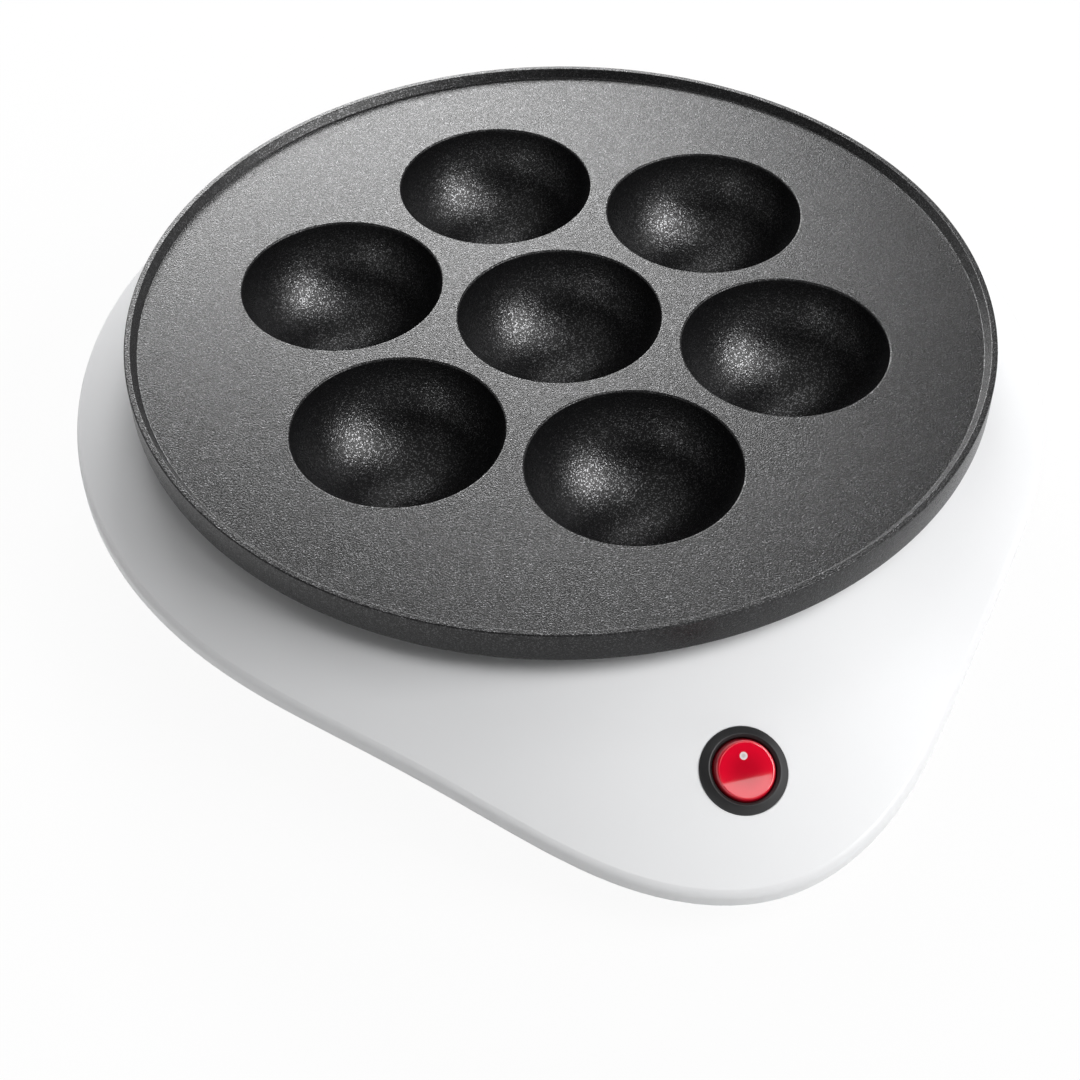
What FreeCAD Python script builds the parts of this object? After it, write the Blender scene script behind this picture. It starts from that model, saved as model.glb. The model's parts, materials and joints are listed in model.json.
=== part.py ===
import FreeCAD, Part
import os
from math import cos, exp, hypot, pi, radians, sin, sqrt, tan

# Electric takoyaki maker: a round cast plate with seven hemispherical cups stands over a low
# body whose roof slopes down and runs out to a rounded nose, where a round rocker switch sits.
#
# Millimetres, +Z up, nose towards -Y. Every function works about the plate's axis, with z = 0
# on the table. The finished solids are moved along Y at the end, so that the origin lies on the
# table under the middle of the body.

# --- Cooking plate -------------------------------------------------------------------------
PLATE_RADIUS = 127.0
PLATE_THICKNESS = 3.0
PLATE_EDGE_DROP = 7.0
PLATE_EDGE_WALL = 3.0
RIM_HEIGHT = 2.5
RIM_LAND = 1.8
RIM_SLANT = 1.6
RIM_ROUNDING = 0.4
CUP_MOUTH_RADIUS = 30.0
CUP_DEPTH = 28.0
CUP_WALL = 3.0
CUP_PITCH = 66.8
OUTER_CUPS = 6
CUP_LIP_ROUNDING = 0.6

# --- Heating element under the plate ---------------------------------------------------------
ELEMENT_RADIUS = 3.3
ELEMENT_DEPTH = 17.0
ELEMENT_OPEN_HALF_ANGLE = 30.0
ELEMENT_BEND = 7.0
ELEMENT_RIB_WALL = 1.9
ELEMENT_STUB = 5.0
PIN_RADIUS = 1.3
PIN_LENGTH = 6.0
BUSH_WALL = 2.2
BUSH_FLANGE = 2.0
BUSH_FLANGE_THICKNESS = 1.5

# --- Stack of heights, from the table up -------------------------------------------------------
FOOT_HEIGHT = 5.0
COVER_FLOOR = 2.5
WIRING_SPACE = 16.5
REFLECTOR_SHEET = 1.0
CUP_CLEARANCE = 4.0

# --- Reflector pan -----------------------------------------------------------------------------
PAN_SIDE_GAP = 1.0
PAN_FLOOR_MARGIN = 3.0
PAN_CORNER = 3.0

# --- Body outline seen from above ---------------------------------------------------------------
BODY_RADIUS = 145.0
BODY_SHIFT = 1.3
NOSE_REACH = 181.0
NOSE_SPREAD = 17.0
UNDERSIDE_RADIUS = 115.0
UNDERSIDE_NOSE_REACH = 170.0
OUTLINE_STATIONS = 36

# --- Upper housing ----------------------------------------------------------------------------
ROOF_SLOPE = 25.5
ROOF_DROP = 15.5
HOUSING_WALL = 2.5
SKIRT_HEIGHT = 4.2
EDGE_ROUNDING = 2.5
HOUSING_OPENING = 112.0
SHELF_WIDTH = 7.5
SHELF_THICKNESS = 2.5

# --- Bottom cover ------------------------------------------------------------------------------
COVER_WALL = 3.5
COVER_ROUNDING = 2.0
TONGUE_THICKNESS = 1.4
VENT_SLOTS = 7
VENT_WIDTH = 3.0
VENT_LENGTH = 26.0
VENT_SPACING = 8.0

# --- Fastening ----------------------------------------------------------------------------------
BOLT_CIRCLE = 88.0
BOLT_ANGLES = (60.0, 120.0, 240.0, 300.0)
BOLT_RADIUS = 2.0
BOLT_HEAD_RADIUS = 3.5
BOLT_HEAD_HEIGHT = 2.6
BOLT_GRIP = 8.0
BOLT_THREAD_DEPTH = 7.0
BOLT_POST_RADIUS = 6.0
SPACER_RADIUS = 4.0
PLATE_BOSS_HEIGHT = 10.0
SCREW_CIRCLE = 109.0
SCREW_ANGLES = (45.0, 135.0, 225.0, 315.0)
SCREW_RADIUS = 1.75
SCREW_HEAD_RADIUS = 3.2
SCREW_HEAD_HEIGHT = 2.2
SCREW_THREAD_LENGTH = 12.0
SCREW_GRIP = 10.0
SCREW_POST_RADIUS = 4.5
SCREW_JOINT_HEIGHT = 30.0
SMALL_SCREW_RADIUS = 1.4
SMALL_SCREW_HEAD_RADIUS = 2.6
SMALL_SCREW_HEAD_HEIGHT = 1.6
DRIVE_SLOT_WIDTH = 0.9
DRIVE_SLOT_DEPTH = 1.0

# --- Feet ----------------------------------------------------------------------------------------
FOOT_RADIUS = 9.0
FOOT_CIRCLE = 90.0
FOOT_ANGLES = {"rear_right": 45.0, "rear_left": 135.0, "front_left": 225.0, "front_right": 315.0}
FOOT_NECK_RADIUS = 3.0
FOOT_HEAD_RADIUS = 4.2
FOOT_HEAD_HEIGHT = 2.0
FOOT_CHAMFER = 1.0

# --- Rocker switch, in its own frame: w is out of the roof, v is up the slope -----------------------
SWITCH_CIRCLE = 153.0
SWITCH_SEAT_DEPTH = 0.45
SWITCH_HOLE_DEPTH = 7.5
BEZEL_RADIUS = 11.5
BEZEL_HEIGHT = 2.0
BEZEL_EDGE_HEIGHT = 0.7
BEZEL_CREST_RADIUS = 9.3
BEZEL_LIP_DROP = 0.6
SWITCH_BODY_RADIUS = 9.95
SWITCH_BODY_DEPTH = 15.0
SWITCH_FLOOR = 1.4
SWITCH_CAVITY_RADIUS = 9.0
SWITCH_MOUTH_RADIUS = 8.5
LATCH_REACH = 0.7
LATCH_WIDTH = 5.0
LATCH_HEIGHT = 3.0
ROCKER_PIVOT_DEPTH = 1.5
ROCKER_RADIUS = 8.45
ROCKER_FACE_HEIGHT = 3.0
ROCKER_SKIRT_DEPTH = 6.0
ROCKER_WALL = 1.3
ROCKER_DISH_DEPTH = 0.45
ROCKER_EDGE_ROUNDING = 0.4
ROCKER_HUB_RADIUS = 2.5
ROCKER_SWING = 14.0
TRUNNION_RADIUS = 1.2
TRUNNION_REACH = 9.7
PLUNGER_RADIUS = 1.4
PLUNGER_TIP_DEPTH = 11.0
PLUNGER_HEAD_LENGTH = 4.0
PLUNGER_STEM_RADIUS = 0.6
PLUNGER_STEM_LENGTH = 3.0
SPRING_WIRE_RADIUS = 0.2
SPRING_TURNS = 5
LEVER_LENGTH = 12.6
LEVER_WIDTH = 4.0
LEVER_THICKNESS = 0.6
LEVER_SWING = 10.0
CONTACT_OFFSET = 5.0
CONTACT_RADIUS = 1.1
CONTACT_HEIGHT = 0.5
LEVER_POST_RADIUS = 0.5
TAB_WIDTH = 4.8
TAB_THICKNESS = 0.8
TAB_LENGTH = 6.5
LAMP_RADIUS = 1.4
LAMP_LENGTH = 5.6
LAMP_OFFSET = 4.4

# --- Thermostat and thermal fuse on the plate's underside ---------------------------------------------
THERMOSTAT_ANGLE = 0.0
THERMOSTAT_CAP_RADIUS = 8.2
THERMOSTAT_CAP_HEIGHT = 3.5
THERMOSTAT_BODY_RADIUS = 7.0
THERMOSTAT_BODY_HEIGHT = 8.0
SENSOR_PAD_RADIUS = 8.6
SENSOR_PAD_HEIGHT = 3.0
BRACKET_THICKNESS = 0.8
BRACKET_EAR_OFFSET = 13.0
BRACKET_EAR_RADIUS = 3.6
FUSE_ANGLE = 180.0
FUSE_RADIUS = 2.0
FUSE_LENGTH = 11.0
SLEEVE_WALL = 0.6
SLEEVE_LENGTH = 19.0
CLIP_THICKNESS = 0.8
CLIP_WIDTH = 6.0
CLIP_EAR_OFFSET = 7.0
CLIP_EAR_RADIUS = 3.2

# --- Cord entry and wiring --------------------------------------------------------------------------
CORD_HOLE_RADIUS = 3.6
GLAND_HEIGHT = 14.5
GLAND_BOSS_RADIUS = 9.0
GLAND_BOSS_END = 136.2
GLAND_BOSS_WALL = 3.0
GLAND_NECK_RADIUS = 5.5
GLAND_FLANGE_RADIUS = 7.5
GLAND_FLANGE_THICKNESS = 2.5
CLAMP_PLACE = 111.0
CLAMP_SPACING = 9.0
CLAMP_POST_RADIUS = 3.6
CLAMP_BAR_LENGTH = 26.0
CLAMP_BAR_WIDTH = 7.0
CLAMP_BAR_THICKNESS = 2.5
BLOCK_PLACE = 88.0
BLOCK_POLES = 4
BLOCK_POLE_PITCH = 9.0
BLOCK_LENGTH = 16.0
BLOCK_HEIGHT = 9.0
BLOCK_HOLE_RADIUS = 1.9
WIRE_RADIUS = 1.2
WIRE_INSERT = 3.0
WIRE_LANE = 1.35
WIRE_TURN = 12.0
GROMMET_RADIUS = 4.2
GROMMET_FLANGE = 1.6
GROMMET_FLANGE_THICKNESS = 1.2
GROMMET_HOLE_RADIUS = 2.8
GROMMET_CIRCLE = 76.0
GROMMET_LEAD_BELOW = 6.3
GROMMET_LEAD_ABOVE = 8.4
FUSE_LEAD_REACH = 8.4
EARTH_LEAD_RUN = 18.0
ARC_SHARE = 0.45
EARTH_TAB_PLACE = (0.0, -88.0)
EARTH_TAB_WIDTH = 8.0
EARTH_TAB_LENGTH = 14.0
EARTH_TAB_THICKNESS = 0.8

# --- Clearances ---------------------------------------------------------------------------------------
FIT = 0.05
LOOSE = 0.15
GAP = 0.3

# --- Room for cutting shapes, and how near an edge lies to what it is picked by ---------------------
BEYOND_BODY = 36.0
CLOSE = 0.01
NEAR = 0.1
EDGE_SAMPLES = 7

# --- Heights worked out from the stack --------------------------------------------------------------
COVER_BASE = FOOT_HEIGHT
COVER_TOP = COVER_BASE + COVER_FLOOR
REFLECTOR_BASE = COVER_TOP + WIRING_SPACE
REFLECTOR_TOP = REFLECTOR_BASE + REFLECTOR_SHEET
CUP_BASE = REFLECTOR_TOP + CUP_CLEARANCE
PLATE_FLOOR = CUP_BASE + CUP_WALL + CUP_DEPTH
PLATE_UNDERSIDE = PLATE_FLOOR - PLATE_THICKNESS
PLATE_BOSS_END = PLATE_UNDERSIDE - PLATE_BOSS_HEIGHT
SENSOR_PAD_END = PLATE_UNDERSIDE - SENSOR_PAD_HEIGHT
ELEMENT_Z = PLATE_FLOOR - ELEMENT_DEPTH

# --- Roof, shelf and plan sizes worked out from them -----------------------------------------------
ROOF_FALL = tan(radians(ROOF_SLOPE))
ROOF_UPRIGHT_WALL = HOUSING_WALL / cos(radians(ROOF_SLOPE))
FAR_RADIUS = NOSE_REACH + BEYOND_BODY
SHELF_INNER = HOUSING_OPENING - SHELF_WIDTH
BOWL_RADIUS = SHELF_INNER - PAN_SIDE_GAP
BOWL_FLOOR_RADIUS = BOLT_CIRCLE + BOLT_POST_RADIUS + PAN_FLOOR_MARGIN
FLANGE_RADIUS = HOUSING_OPENING - GAP
ELEMENT_RING = CUP_PITCH / 2
CUP_SPHERE = (CUP_MOUTH_RADIUS ** 2 + CUP_DEPTH ** 2) / (2 * CUP_DEPTH)
CUP_CENTRE_Z = PLATE_FLOOR - CUP_DEPTH + CUP_SPHERE
PLATE_Y = (NOSE_REACH - BODY_RADIUS - BODY_SHIFT) / 2


def vec(x, y, z):
    return FreeCAD.Vector(x, y, z)


def polar(radius, degrees):
    return radius * cos(radians(degrees)), radius * sin(radians(degrees))


def cylinder(radius, low, high, x=0.0, y=0.0):
    return Part.makeCylinder(radius, high - low, vec(x, y, low))


def cylinder_y(radius, near, far, x, z):
    return Part.makeCylinder(radius, far - near, vec(x, near, z), vec(0, 1, 0))


def cylinder_x(radius, near, far, y, z):
    return Part.makeCylinder(radius, far - near, vec(near, y, z), vec(1, 0, 0))


def block(size_x, size_y, low, high, x=0.0, y=0.0):
    return Part.makeBox(size_x, size_y, high - low, vec(x - size_x / 2, y - size_y / 2, low))


def revolved(points):
    """Solid of revolution about the plate's axis from (radius, height) corners."""
    corners = [vec(radius, 0, height) for radius, height in points]
    profile = Part.Face(Part.makePolygon(corners + corners[:1]))
    return profile.revolve(vec(0, 0, 0), vec(0, 0, 1), 360)


def fused(shapes):
    whole = shapes[0]
    if len(shapes) > 1:
        whole = whole.fuse(shapes[1:])
    return whole.removeSplitter()


# --- Plan outline and roof --------------------------------------------------------------------------


def outline_radius(turn, side_radius, nose_reach):
    """Distance from the body's centre, where turn is the angle from the nose in radians."""
    share = exp(-0.5 * (turn / radians(NOSE_SPREAD)) ** 2)
    return side_radius + (nose_reach + BODY_SHIFT - side_radius) * share


def outline_point(turn, side_radius, nose_reach, height):
    radius = outline_radius(turn, side_radius, nose_reach)
    return vec(radius * sin(turn), BODY_SHIFT - radius * cos(turn), height)


def outline_turns():
    return [2 * pi * i / OUTLINE_STATIONS - pi for i in range(OUTLINE_STATIONS)]


def closed_curve(points):
    curve = Part.BSplineCurve()
    curve.interpolate(Points=points, PeriodicFlag=True)
    return Part.Wire(curve.toShape())


def outline_prism(inset, low, high):
    """Upright prism of the body's outline, drawn in by inset."""
    side = BODY_RADIUS - inset
    nose = NOSE_REACH - inset
    points = [outline_point(turn, side, nose, low) for turn in outline_turns()]
    return Part.Face(closed_curve(points)).extrude(vec(0, 0, high - low))


def roof_height(radius):
    return PLATE_FLOOR - ROOF_DROP - ROOF_FALL * (radius - PLATE_RADIUS)


def cone_slab(inner_radius, top_offset, bottom_offset):
    """Ring that lies between two cones parallel to the roof, given as offsets from it."""
    inner = roof_height(inner_radius)
    outer = roof_height(FAR_RADIUS)
    return revolved([
        (inner_radius, inner + top_offset),
        (FAR_RADIUS, outer + top_offset),
        (FAR_RADIUS, outer + bottom_offset),
        (inner_radius, inner + bottom_offset),
    ])


def roof_edges(shape):
    """The edges where the roof meets the upright skirt."""
    found = []
    for edge in shape.Edges:
        samples = edge.discretize(EDGE_SAMPLES)
        on_roof = all(abs(p.z - roof_height(hypot(p.x, p.y))) < NEAR for p in samples)
        if on_roof and all(hypot(p.x, p.y) > HOUSING_OPENING + NEAR for p in samples):
            found.append(edge)
    return found


# --- Switch frame ---------------------------------------------------------------------------------------


def switch_frame():
    """Placement that takes (u, v, w) of the switch to the object's frame."""
    seat = vec(0, -SWITCH_CIRCLE, roof_height(SWITCH_CIRCLE))
    return FreeCAD.Placement(seat, FreeCAD.Rotation(vec(1, 0, 0), ROOF_SLOPE))


def seated(shape):
    """A shape drawn in the switch's frame, moved to the roof."""
    copy = shape.copy()
    copy.Placement = switch_frame().multiply(copy.Placement)
    return copy


def tilted(shape, degrees, depth):
    """A shape of the switch's frame turned about the cross axis at this depth."""
    copy = shape.copy()
    copy.rotate(vec(0, 0, -depth), vec(1, 0, 0), degrees)
    return copy


# --- Cooking plate and what heats it --------------------------------------------------------------------


def cup_places():
    """The centre cup, then the ring with one cup towards the nose."""
    ring = [polar(CUP_PITCH, -90 + 360 / OUTER_CUPS * i) for i in range(OUTER_CUPS)]
    return [(0.0, 0.0)] + ring


def plate_casting():
    floor_radius = PLATE_RADIUS - RIM_LAND - RIM_SLANT
    inner_wall = PLATE_RADIUS - PLATE_EDGE_WALL
    dish = revolved([
        (0, PLATE_FLOOR),
        (floor_radius, PLATE_FLOOR),
        (PLATE_RADIUS - RIM_LAND, PLATE_FLOOR + RIM_HEIGHT),
        (PLATE_RADIUS, PLATE_FLOOR + RIM_HEIGHT),
        (PLATE_RADIUS, PLATE_FLOOR - PLATE_EDGE_DROP),
        (inner_wall, PLATE_FLOOR - PLATE_EDGE_DROP),
        (inner_wall, PLATE_UNDERSIDE),
        (0, PLATE_UNDERSIDE),
    ])
    rim = [e for e in dish.Edges if e.BoundBox.ZMin > PLATE_FLOOR + RIM_HEIGHT - CLOSE]
    return dish.makeFillet(RIM_ROUNDING, [e for e in rim if e.BoundBox.ZLength < CLOSE])


def cooking_plate():
    below = cylinder(PLATE_RADIUS, CUP_BASE - CUP_WALL, PLATE_FLOOR - PLATE_THICKNESS / 2)
    parts = [plate_casting()]
    for x, y in cup_places():
        shell = Part.makeSphere(CUP_SPHERE + CUP_WALL, vec(x, y, CUP_CENTRE_Z))
        parts.append(shell.common(below))
    rib = ELEMENT_RADIUS + ELEMENT_RIB_WALL
    ring = cylinder(ELEMENT_RING + rib, ELEMENT_Z, PLATE_UNDERSIDE)
    parts.append(ring.cut(cylinder(ELEMENT_RING - rib, ELEMENT_Z, PLATE_UNDERSIDE)))
    for angle in BOLT_ANGLES:
        x, y = polar(BOLT_CIRCLE, angle)
        parts.append(cylinder(BOLT_POST_RADIUS, PLATE_BOSS_END, PLATE_UNDERSIDE, x, y))
    for angle in (THERMOSTAT_ANGLE, FUSE_ANGLE):
        x, y = polar(BOLT_CIRCLE, angle)
        parts.append(cylinder(SENSOR_PAD_RADIUS, SENSOR_PAD_END, PLATE_UNDERSIDE, x, y))
    parts += [sensor_screw_boss(x, y, end) for x, y, end in sensor_screw_places()]
    plate = fused(parts)
    cuts = [Part.makeSphere(CUP_SPHERE, vec(x, y, CUP_CENTRE_Z)) for x, y in cup_places()]
    cuts.append(Part.makeTorus(ELEMENT_RING, ELEMENT_RADIUS + LOOSE, vec(0, 0, ELEMENT_Z)))
    for angle in BOLT_ANGLES:
        x, y = polar(BOLT_CIRCLE, angle)
        top = PLATE_BOSS_END + BOLT_THREAD_DEPTH
        cuts.append(cylinder(BOLT_RADIUS + FIT, PLATE_BOSS_END, top, x, y))
    for x, y, end in sensor_screw_places():
        cuts.append(cylinder(SMALL_SCREW_RADIUS + FIT, end, PLATE_UNDERSIDE, x, y))
    plate = plate.cut(cuts)
    return plate.makeFillet(CUP_LIP_ROUNDING, cup_lips(plate))


def cup_lips(plate):
    """The round edges where the cups open into the plate's floor."""
    lips = []
    for edge in plate.Edges:
        box = edge.BoundBox
        level = box.ZLength < CLOSE and abs(box.ZMax - PLATE_FLOOR) < CLOSE
        if level and abs(box.XLength - 2 * CUP_MOUTH_RADIUS) < NEAR:
            lips.append(edge)
    return lips


def sensor_screw_places():
    """(x, y, end height) of the small screws that hold the thermostat and the fuse."""
    places = []
    bracket_top = SENSOR_PAD_END - THERMOSTAT_CAP_HEIGHT
    x, y = polar(BOLT_CIRCLE, THERMOSTAT_ANGLE)
    places += [(x, y + side * BRACKET_EAR_OFFSET, bracket_top) for side in (-1, 1)]
    x, y = polar(BOLT_CIRCLE, FUSE_ANGLE)
    places += [(x + side * CLIP_EAR_OFFSET, y, SENSOR_PAD_END) for side in (-1, 1)]
    return places


def sensor_screw_boss(x, y, end):
    return cylinder(BRACKET_EAR_RADIUS - GAP, end, PLATE_UNDERSIDE, x, y)


def element_legs():
    """(x, y) of the two upright legs, right then left."""
    half = radians(ELEMENT_OPEN_HALF_ANGLE)
    x = ELEMENT_RING * sin(half) - ELEMENT_BEND * cos(half)
    y = ELEMENT_RING * cos(half) + ELEMENT_BEND * sin(half)
    return [(x, y), (-x, y)]


def element_end():
    return REFLECTOR_BASE - ELEMENT_STUB


def heating_element():
    """An open ring whose two ends bend straight down through the reflector."""
    half = ELEMENT_OPEN_HALF_ANGLE
    start = polar(ELEMENT_RING, 90 + half)
    section = Part.Face(Part.Wire(Part.makeCircle(
        ELEMENT_RADIUS, vec(start[0], start[1], ELEMENT_Z), vec(-start[1], start[0], 0))))
    parts = [section.revolve(vec(0, 0, 0), vec(0, 0, 1), 360 - 2 * half)]
    for side, (x, y) in zip((1, -1), element_legs()):
        top = polar(ELEMENT_RING, 90 - side * half)
        axis = vec(side * top[0], side * top[1], 0)
        leg = Part.makeCircle(ELEMENT_RADIUS, vec(x, y, ELEMENT_Z - ELEMENT_BEND), vec(0, 0, 1))
        centre = vec(top[0], top[1], ELEMENT_Z - ELEMENT_BEND)
        parts.append(Part.Face(Part.Wire(leg)).revolve(centre, axis, 90))
        parts.append(cylinder(ELEMENT_RADIUS, element_end(), ELEMENT_Z - ELEMENT_BEND, x, y))
    return fused(parts)


def element_pins():
    """The cold pins that leave the element's ends, each with a flat blade."""
    low = element_end() - PIN_LENGTH
    pins = []
    for x, y in element_legs():
        pin = cylinder(PIN_RADIUS, element_end() - PIN_LENGTH / 2, element_end(), x, y)
        blade = block(TAB_WIDTH, TAB_THICKNESS, low, element_end() - PIN_LENGTH / 2, x, y)
        pins.append(pin.fuse(blade))
    return Part.makeCompound(pins)


def element_bushes():
    """Ceramic bushes that carry the element's legs through the reflector."""
    bushes = []
    inner = ELEMENT_RADIUS + LOOSE
    for x, y in element_legs():
        neck = cylinder(inner + BUSH_WALL, REFLECTOR_BASE, REFLECTOR_TOP, x, y)
        top = REFLECTOR_TOP + BUSH_FLANGE_THICKNESS
        flange = cylinder(inner + BUSH_WALL + BUSH_FLANGE, REFLECTOR_TOP, top, x, y)
        whole = neck.fuse(flange).cut(cylinder(inner, REFLECTOR_BASE, top, x, y))
        bushes.append(whole.removeSplitter())
    return Part.makeCompound(bushes)


# --- Reflector, spacers and bolts -----------------------------------------------------------------------


def grommet_places():
    return [polar(GROMMET_CIRCLE, THERMOSTAT_ANGLE), polar(GROMMET_CIRCLE, FUSE_ANGLE)]


def shelf_top():
    return roof_height(HOUSING_OPENING) - REFLECTOR_SHEET - GAP


def reflector_pan():
    """Pressed steel bowl: flange on the housing's shelf, sloping wall, flat floor."""
    flange_low = shelf_top()
    flange_high = flange_low + REFLECTOR_SHEET
    pan = revolved([
        (0, REFLECTOR_BASE),
        (BOWL_FLOOR_RADIUS, REFLECTOR_BASE),
        (BOWL_FLOOR_RADIUS + PAN_CORNER, REFLECTOR_BASE + PAN_CORNER),
        (BOWL_RADIUS, flange_low),
        (FLANGE_RADIUS, flange_low),
        (FLANGE_RADIUS, flange_high),
        (BOWL_RADIUS - REFLECTOR_SHEET, flange_high),
        (BOWL_FLOOR_RADIUS + PAN_CORNER - REFLECTOR_SHEET, REFLECTOR_BASE + PAN_CORNER),
        (BOWL_FLOOR_RADIUS - REFLECTOR_SHEET / 2, REFLECTOR_TOP),
        (0, REFLECTOR_TOP),
    ])
    cuts = []
    for angle in BOLT_ANGLES:
        x, y = polar(BOLT_CIRCLE, angle)
        cuts.append(cylinder(BOLT_RADIUS + LOOSE, REFLECTOR_BASE, REFLECTOR_TOP, x, y))
    for x, y in element_legs():
        hole = ELEMENT_RADIUS + BUSH_WALL + 2 * LOOSE
        cuts.append(cylinder(hole, REFLECTOR_BASE, REFLECTOR_TOP, x, y))
    for x, y in grommet_places():
        cuts.append(cylinder(GROMMET_RADIUS + LOOSE, REFLECTOR_BASE, REFLECTOR_TOP, x, y))
    x, y = EARTH_TAB_PLACE
    cuts.append(cylinder(SMALL_SCREW_RADIUS + FIT, REFLECTOR_BASE, REFLECTOR_TOP, x, y))
    return pan.cut(cuts)


def wire_grommets():
    """Soft rings in the reflector's floor that the sensors' leads pass through."""
    rings = []
    for x, y in grommet_places():
        low = REFLECTOR_BASE - GROMMET_FLANGE_THICKNESS
        high = REFLECTOR_TOP + GROMMET_FLANGE_THICKNESS
        neck = cylinder(GROMMET_RADIUS, low, high, x, y)
        wide = GROMMET_RADIUS + GROMMET_FLANGE
        lower = cylinder(wide, low, REFLECTOR_BASE, x, y)
        upper = cylinder(wide, REFLECTOR_TOP, high, x, y)
        whole = neck.fuse([lower, upper]).cut(cylinder(GROMMET_HOLE_RADIUS, low, high, x, y))
        rings.append(whole.removeSplitter())
    return Part.makeCompound(rings)


def plate_spacers():
    tubes = []
    for angle in BOLT_ANGLES:
        x, y = polar(BOLT_CIRCLE, angle)
        outer = cylinder(SPACER_RADIUS, REFLECTOR_TOP, PLATE_BOSS_END, x, y)
        inner = cylinder(BOLT_RADIUS + LOOSE, REFLECTOR_TOP, PLATE_BOSS_END, x, y)
        tubes.append(outer.cut(inner))
    return Part.makeCompound(tubes)


def slotted_screw(radius, head_radius, head_height, head_top, tip, x, y):
    """Screw driven upwards, whose head hangs below head_top and whose shank ends at tip."""
    shank = cylinder(radius, head_top, tip, x, y)
    low = head_top - head_height
    head = cylinder(head_radius, low, head_top, x, y)
    slot = block(2 * head_radius, DRIVE_SLOT_WIDTH, low, low + DRIVE_SLOT_DEPTH, x, y)
    return head.fuse(shank).removeSplitter().cut(slot)


def bolt_seat():
    return REFLECTOR_BASE - BOLT_GRIP


def plate_bolts():
    """Long bolts from the cover's posts through reflector and spacers into the plate."""
    tip = PLATE_BOSS_END + BOLT_THREAD_DEPTH - GAP
    bolts = []
    for angle in BOLT_ANGLES:
        x, y = polar(BOLT_CIRCLE, angle)
        bolts.append(slotted_screw(
            BOLT_RADIUS, BOLT_HEAD_RADIUS, BOLT_HEAD_HEIGHT, bolt_seat(), tip, x, y))
    return Part.makeCompound(bolts)


# --- Housing ------------------------------------------------------------------------------------------------


def screw_seat():
    return SCREW_JOINT_HEIGHT - SCREW_GRIP


def upper_housing():
    """Sloping roof with a rounded edge and a short skirt, and the shelf for the reflector."""
    tall = outline_prism(0, 0, PLATE_FLOOR)
    skin = tall.common(cone_slab(HOUSING_OPENING, 0, -SKIRT_HEIGHT))
    skin = skin.makeFillet(EDGE_ROUNDING, roof_edges(skin))
    hollow = outline_prism(HOUSING_WALL, 0, PLATE_FLOOR)
    skin = skin.cut(hollow.common(cone_slab(0, -ROOF_UPRIGHT_WALL, -2 * PLATE_FLOOR)))
    shelf_low = shelf_top() - SHELF_THICKNESS
    outer = HOUSING_OPENING + HOUSING_WALL / 2
    shelf = cylinder(outer, shelf_low, shelf_top())
    parts = [skin, shelf.cut(cylinder(SHELF_INNER, shelf_low, shelf_top()))]
    for angle in SCREW_ANGLES:
        x, y = polar(SCREW_CIRCLE, angle)
        parts.append(cylinder(SCREW_POST_RADIUS, SCREW_JOINT_HEIGHT, shelf_low, x, y))
    housing = fused(parts)
    cuts = []
    for angle in SCREW_ANGLES:
        x, y = polar(SCREW_CIRCLE, angle)
        top = SCREW_JOINT_HEIGHT + SCREW_THREAD_LENGTH
        cuts.append(cylinder(SCREW_RADIUS + FIT, SCREW_JOINT_HEIGHT, top, x, y))
    seat = Part.makeCylinder(BEZEL_RADIUS + LOOSE, BEZEL_HEIGHT, vec(0, 0, -SWITCH_SEAT_DEPTH))
    deep = vec(0, 0, -SWITCH_HOLE_DEPTH)
    hole = Part.makeCylinder(SWITCH_BODY_RADIUS + LOOSE, SWITCH_HOLE_DEPTH, deep)
    cuts += [seated(seat), seated(hole)]
    return housing.cut(cuts)


def hull_curve(inset, height):
    """Closed curve of the cover's straight-sided hull at a height, drawn in by inset.

    Each side line runs from the underside's outline to the lower edge of the skirt.
    """
    points = []
    for turn in outline_turns():
        low = outline_point(
            turn, UNDERSIDE_RADIUS - inset, UNDERSIDE_NOSE_REACH - inset, COVER_BASE)
        rim = outline_point(turn, BODY_RADIUS - inset, NOSE_REACH - inset, 0)
        edge = outline_point(turn, BODY_RADIUS, NOSE_REACH, 0)
        rim.z = roof_height(hypot(edge.x, edge.y)) - SKIRT_HEIGHT
        share = (height - COVER_BASE) / (rim.z - COVER_BASE)
        points.append(low + (rim - low) * share)
    return closed_curve(points)


def hull(inset):
    top = roof_height(BODY_RADIUS)
    return Part.makeLoft([hull_curve(inset, COVER_BASE), hull_curve(inset, top)], True, True)


def cover_shell():
    outer = hull(0)
    base_edges = [e for e in outer.Edges if e.BoundBox.ZMax < COVER_BASE + CLOSE]
    outer = outer.makeFillet(COVER_ROUNDING, base_edges)
    outer = outer.common(cone_slab(0, -SKIRT_HEIGHT, -2 * PLATE_FLOOR))
    inside = hull(COVER_WALL).cut(cylinder(FAR_RADIUS, COVER_BASE, COVER_TOP))
    tongue_top = -ROOF_UPRIGHT_WALL - GAP
    band = cone_slab(0, tongue_top, -SKIRT_HEIGHT - TONGUE_THICKNESS)
    tongue = outline_prism(HOUSING_WALL + GAP, 0, PLATE_FLOOR)
    tongue = tongue.cut(outline_prism(HOUSING_WALL + GAP + TONGUE_THICKNESS, 0, PLATE_FLOOR))
    return outer.cut(inside).fuse(tongue.common(band)).removeSplitter()


def clamp_top():
    return GLAND_HEIGHT + CORD_HOLE_RADIUS


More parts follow.
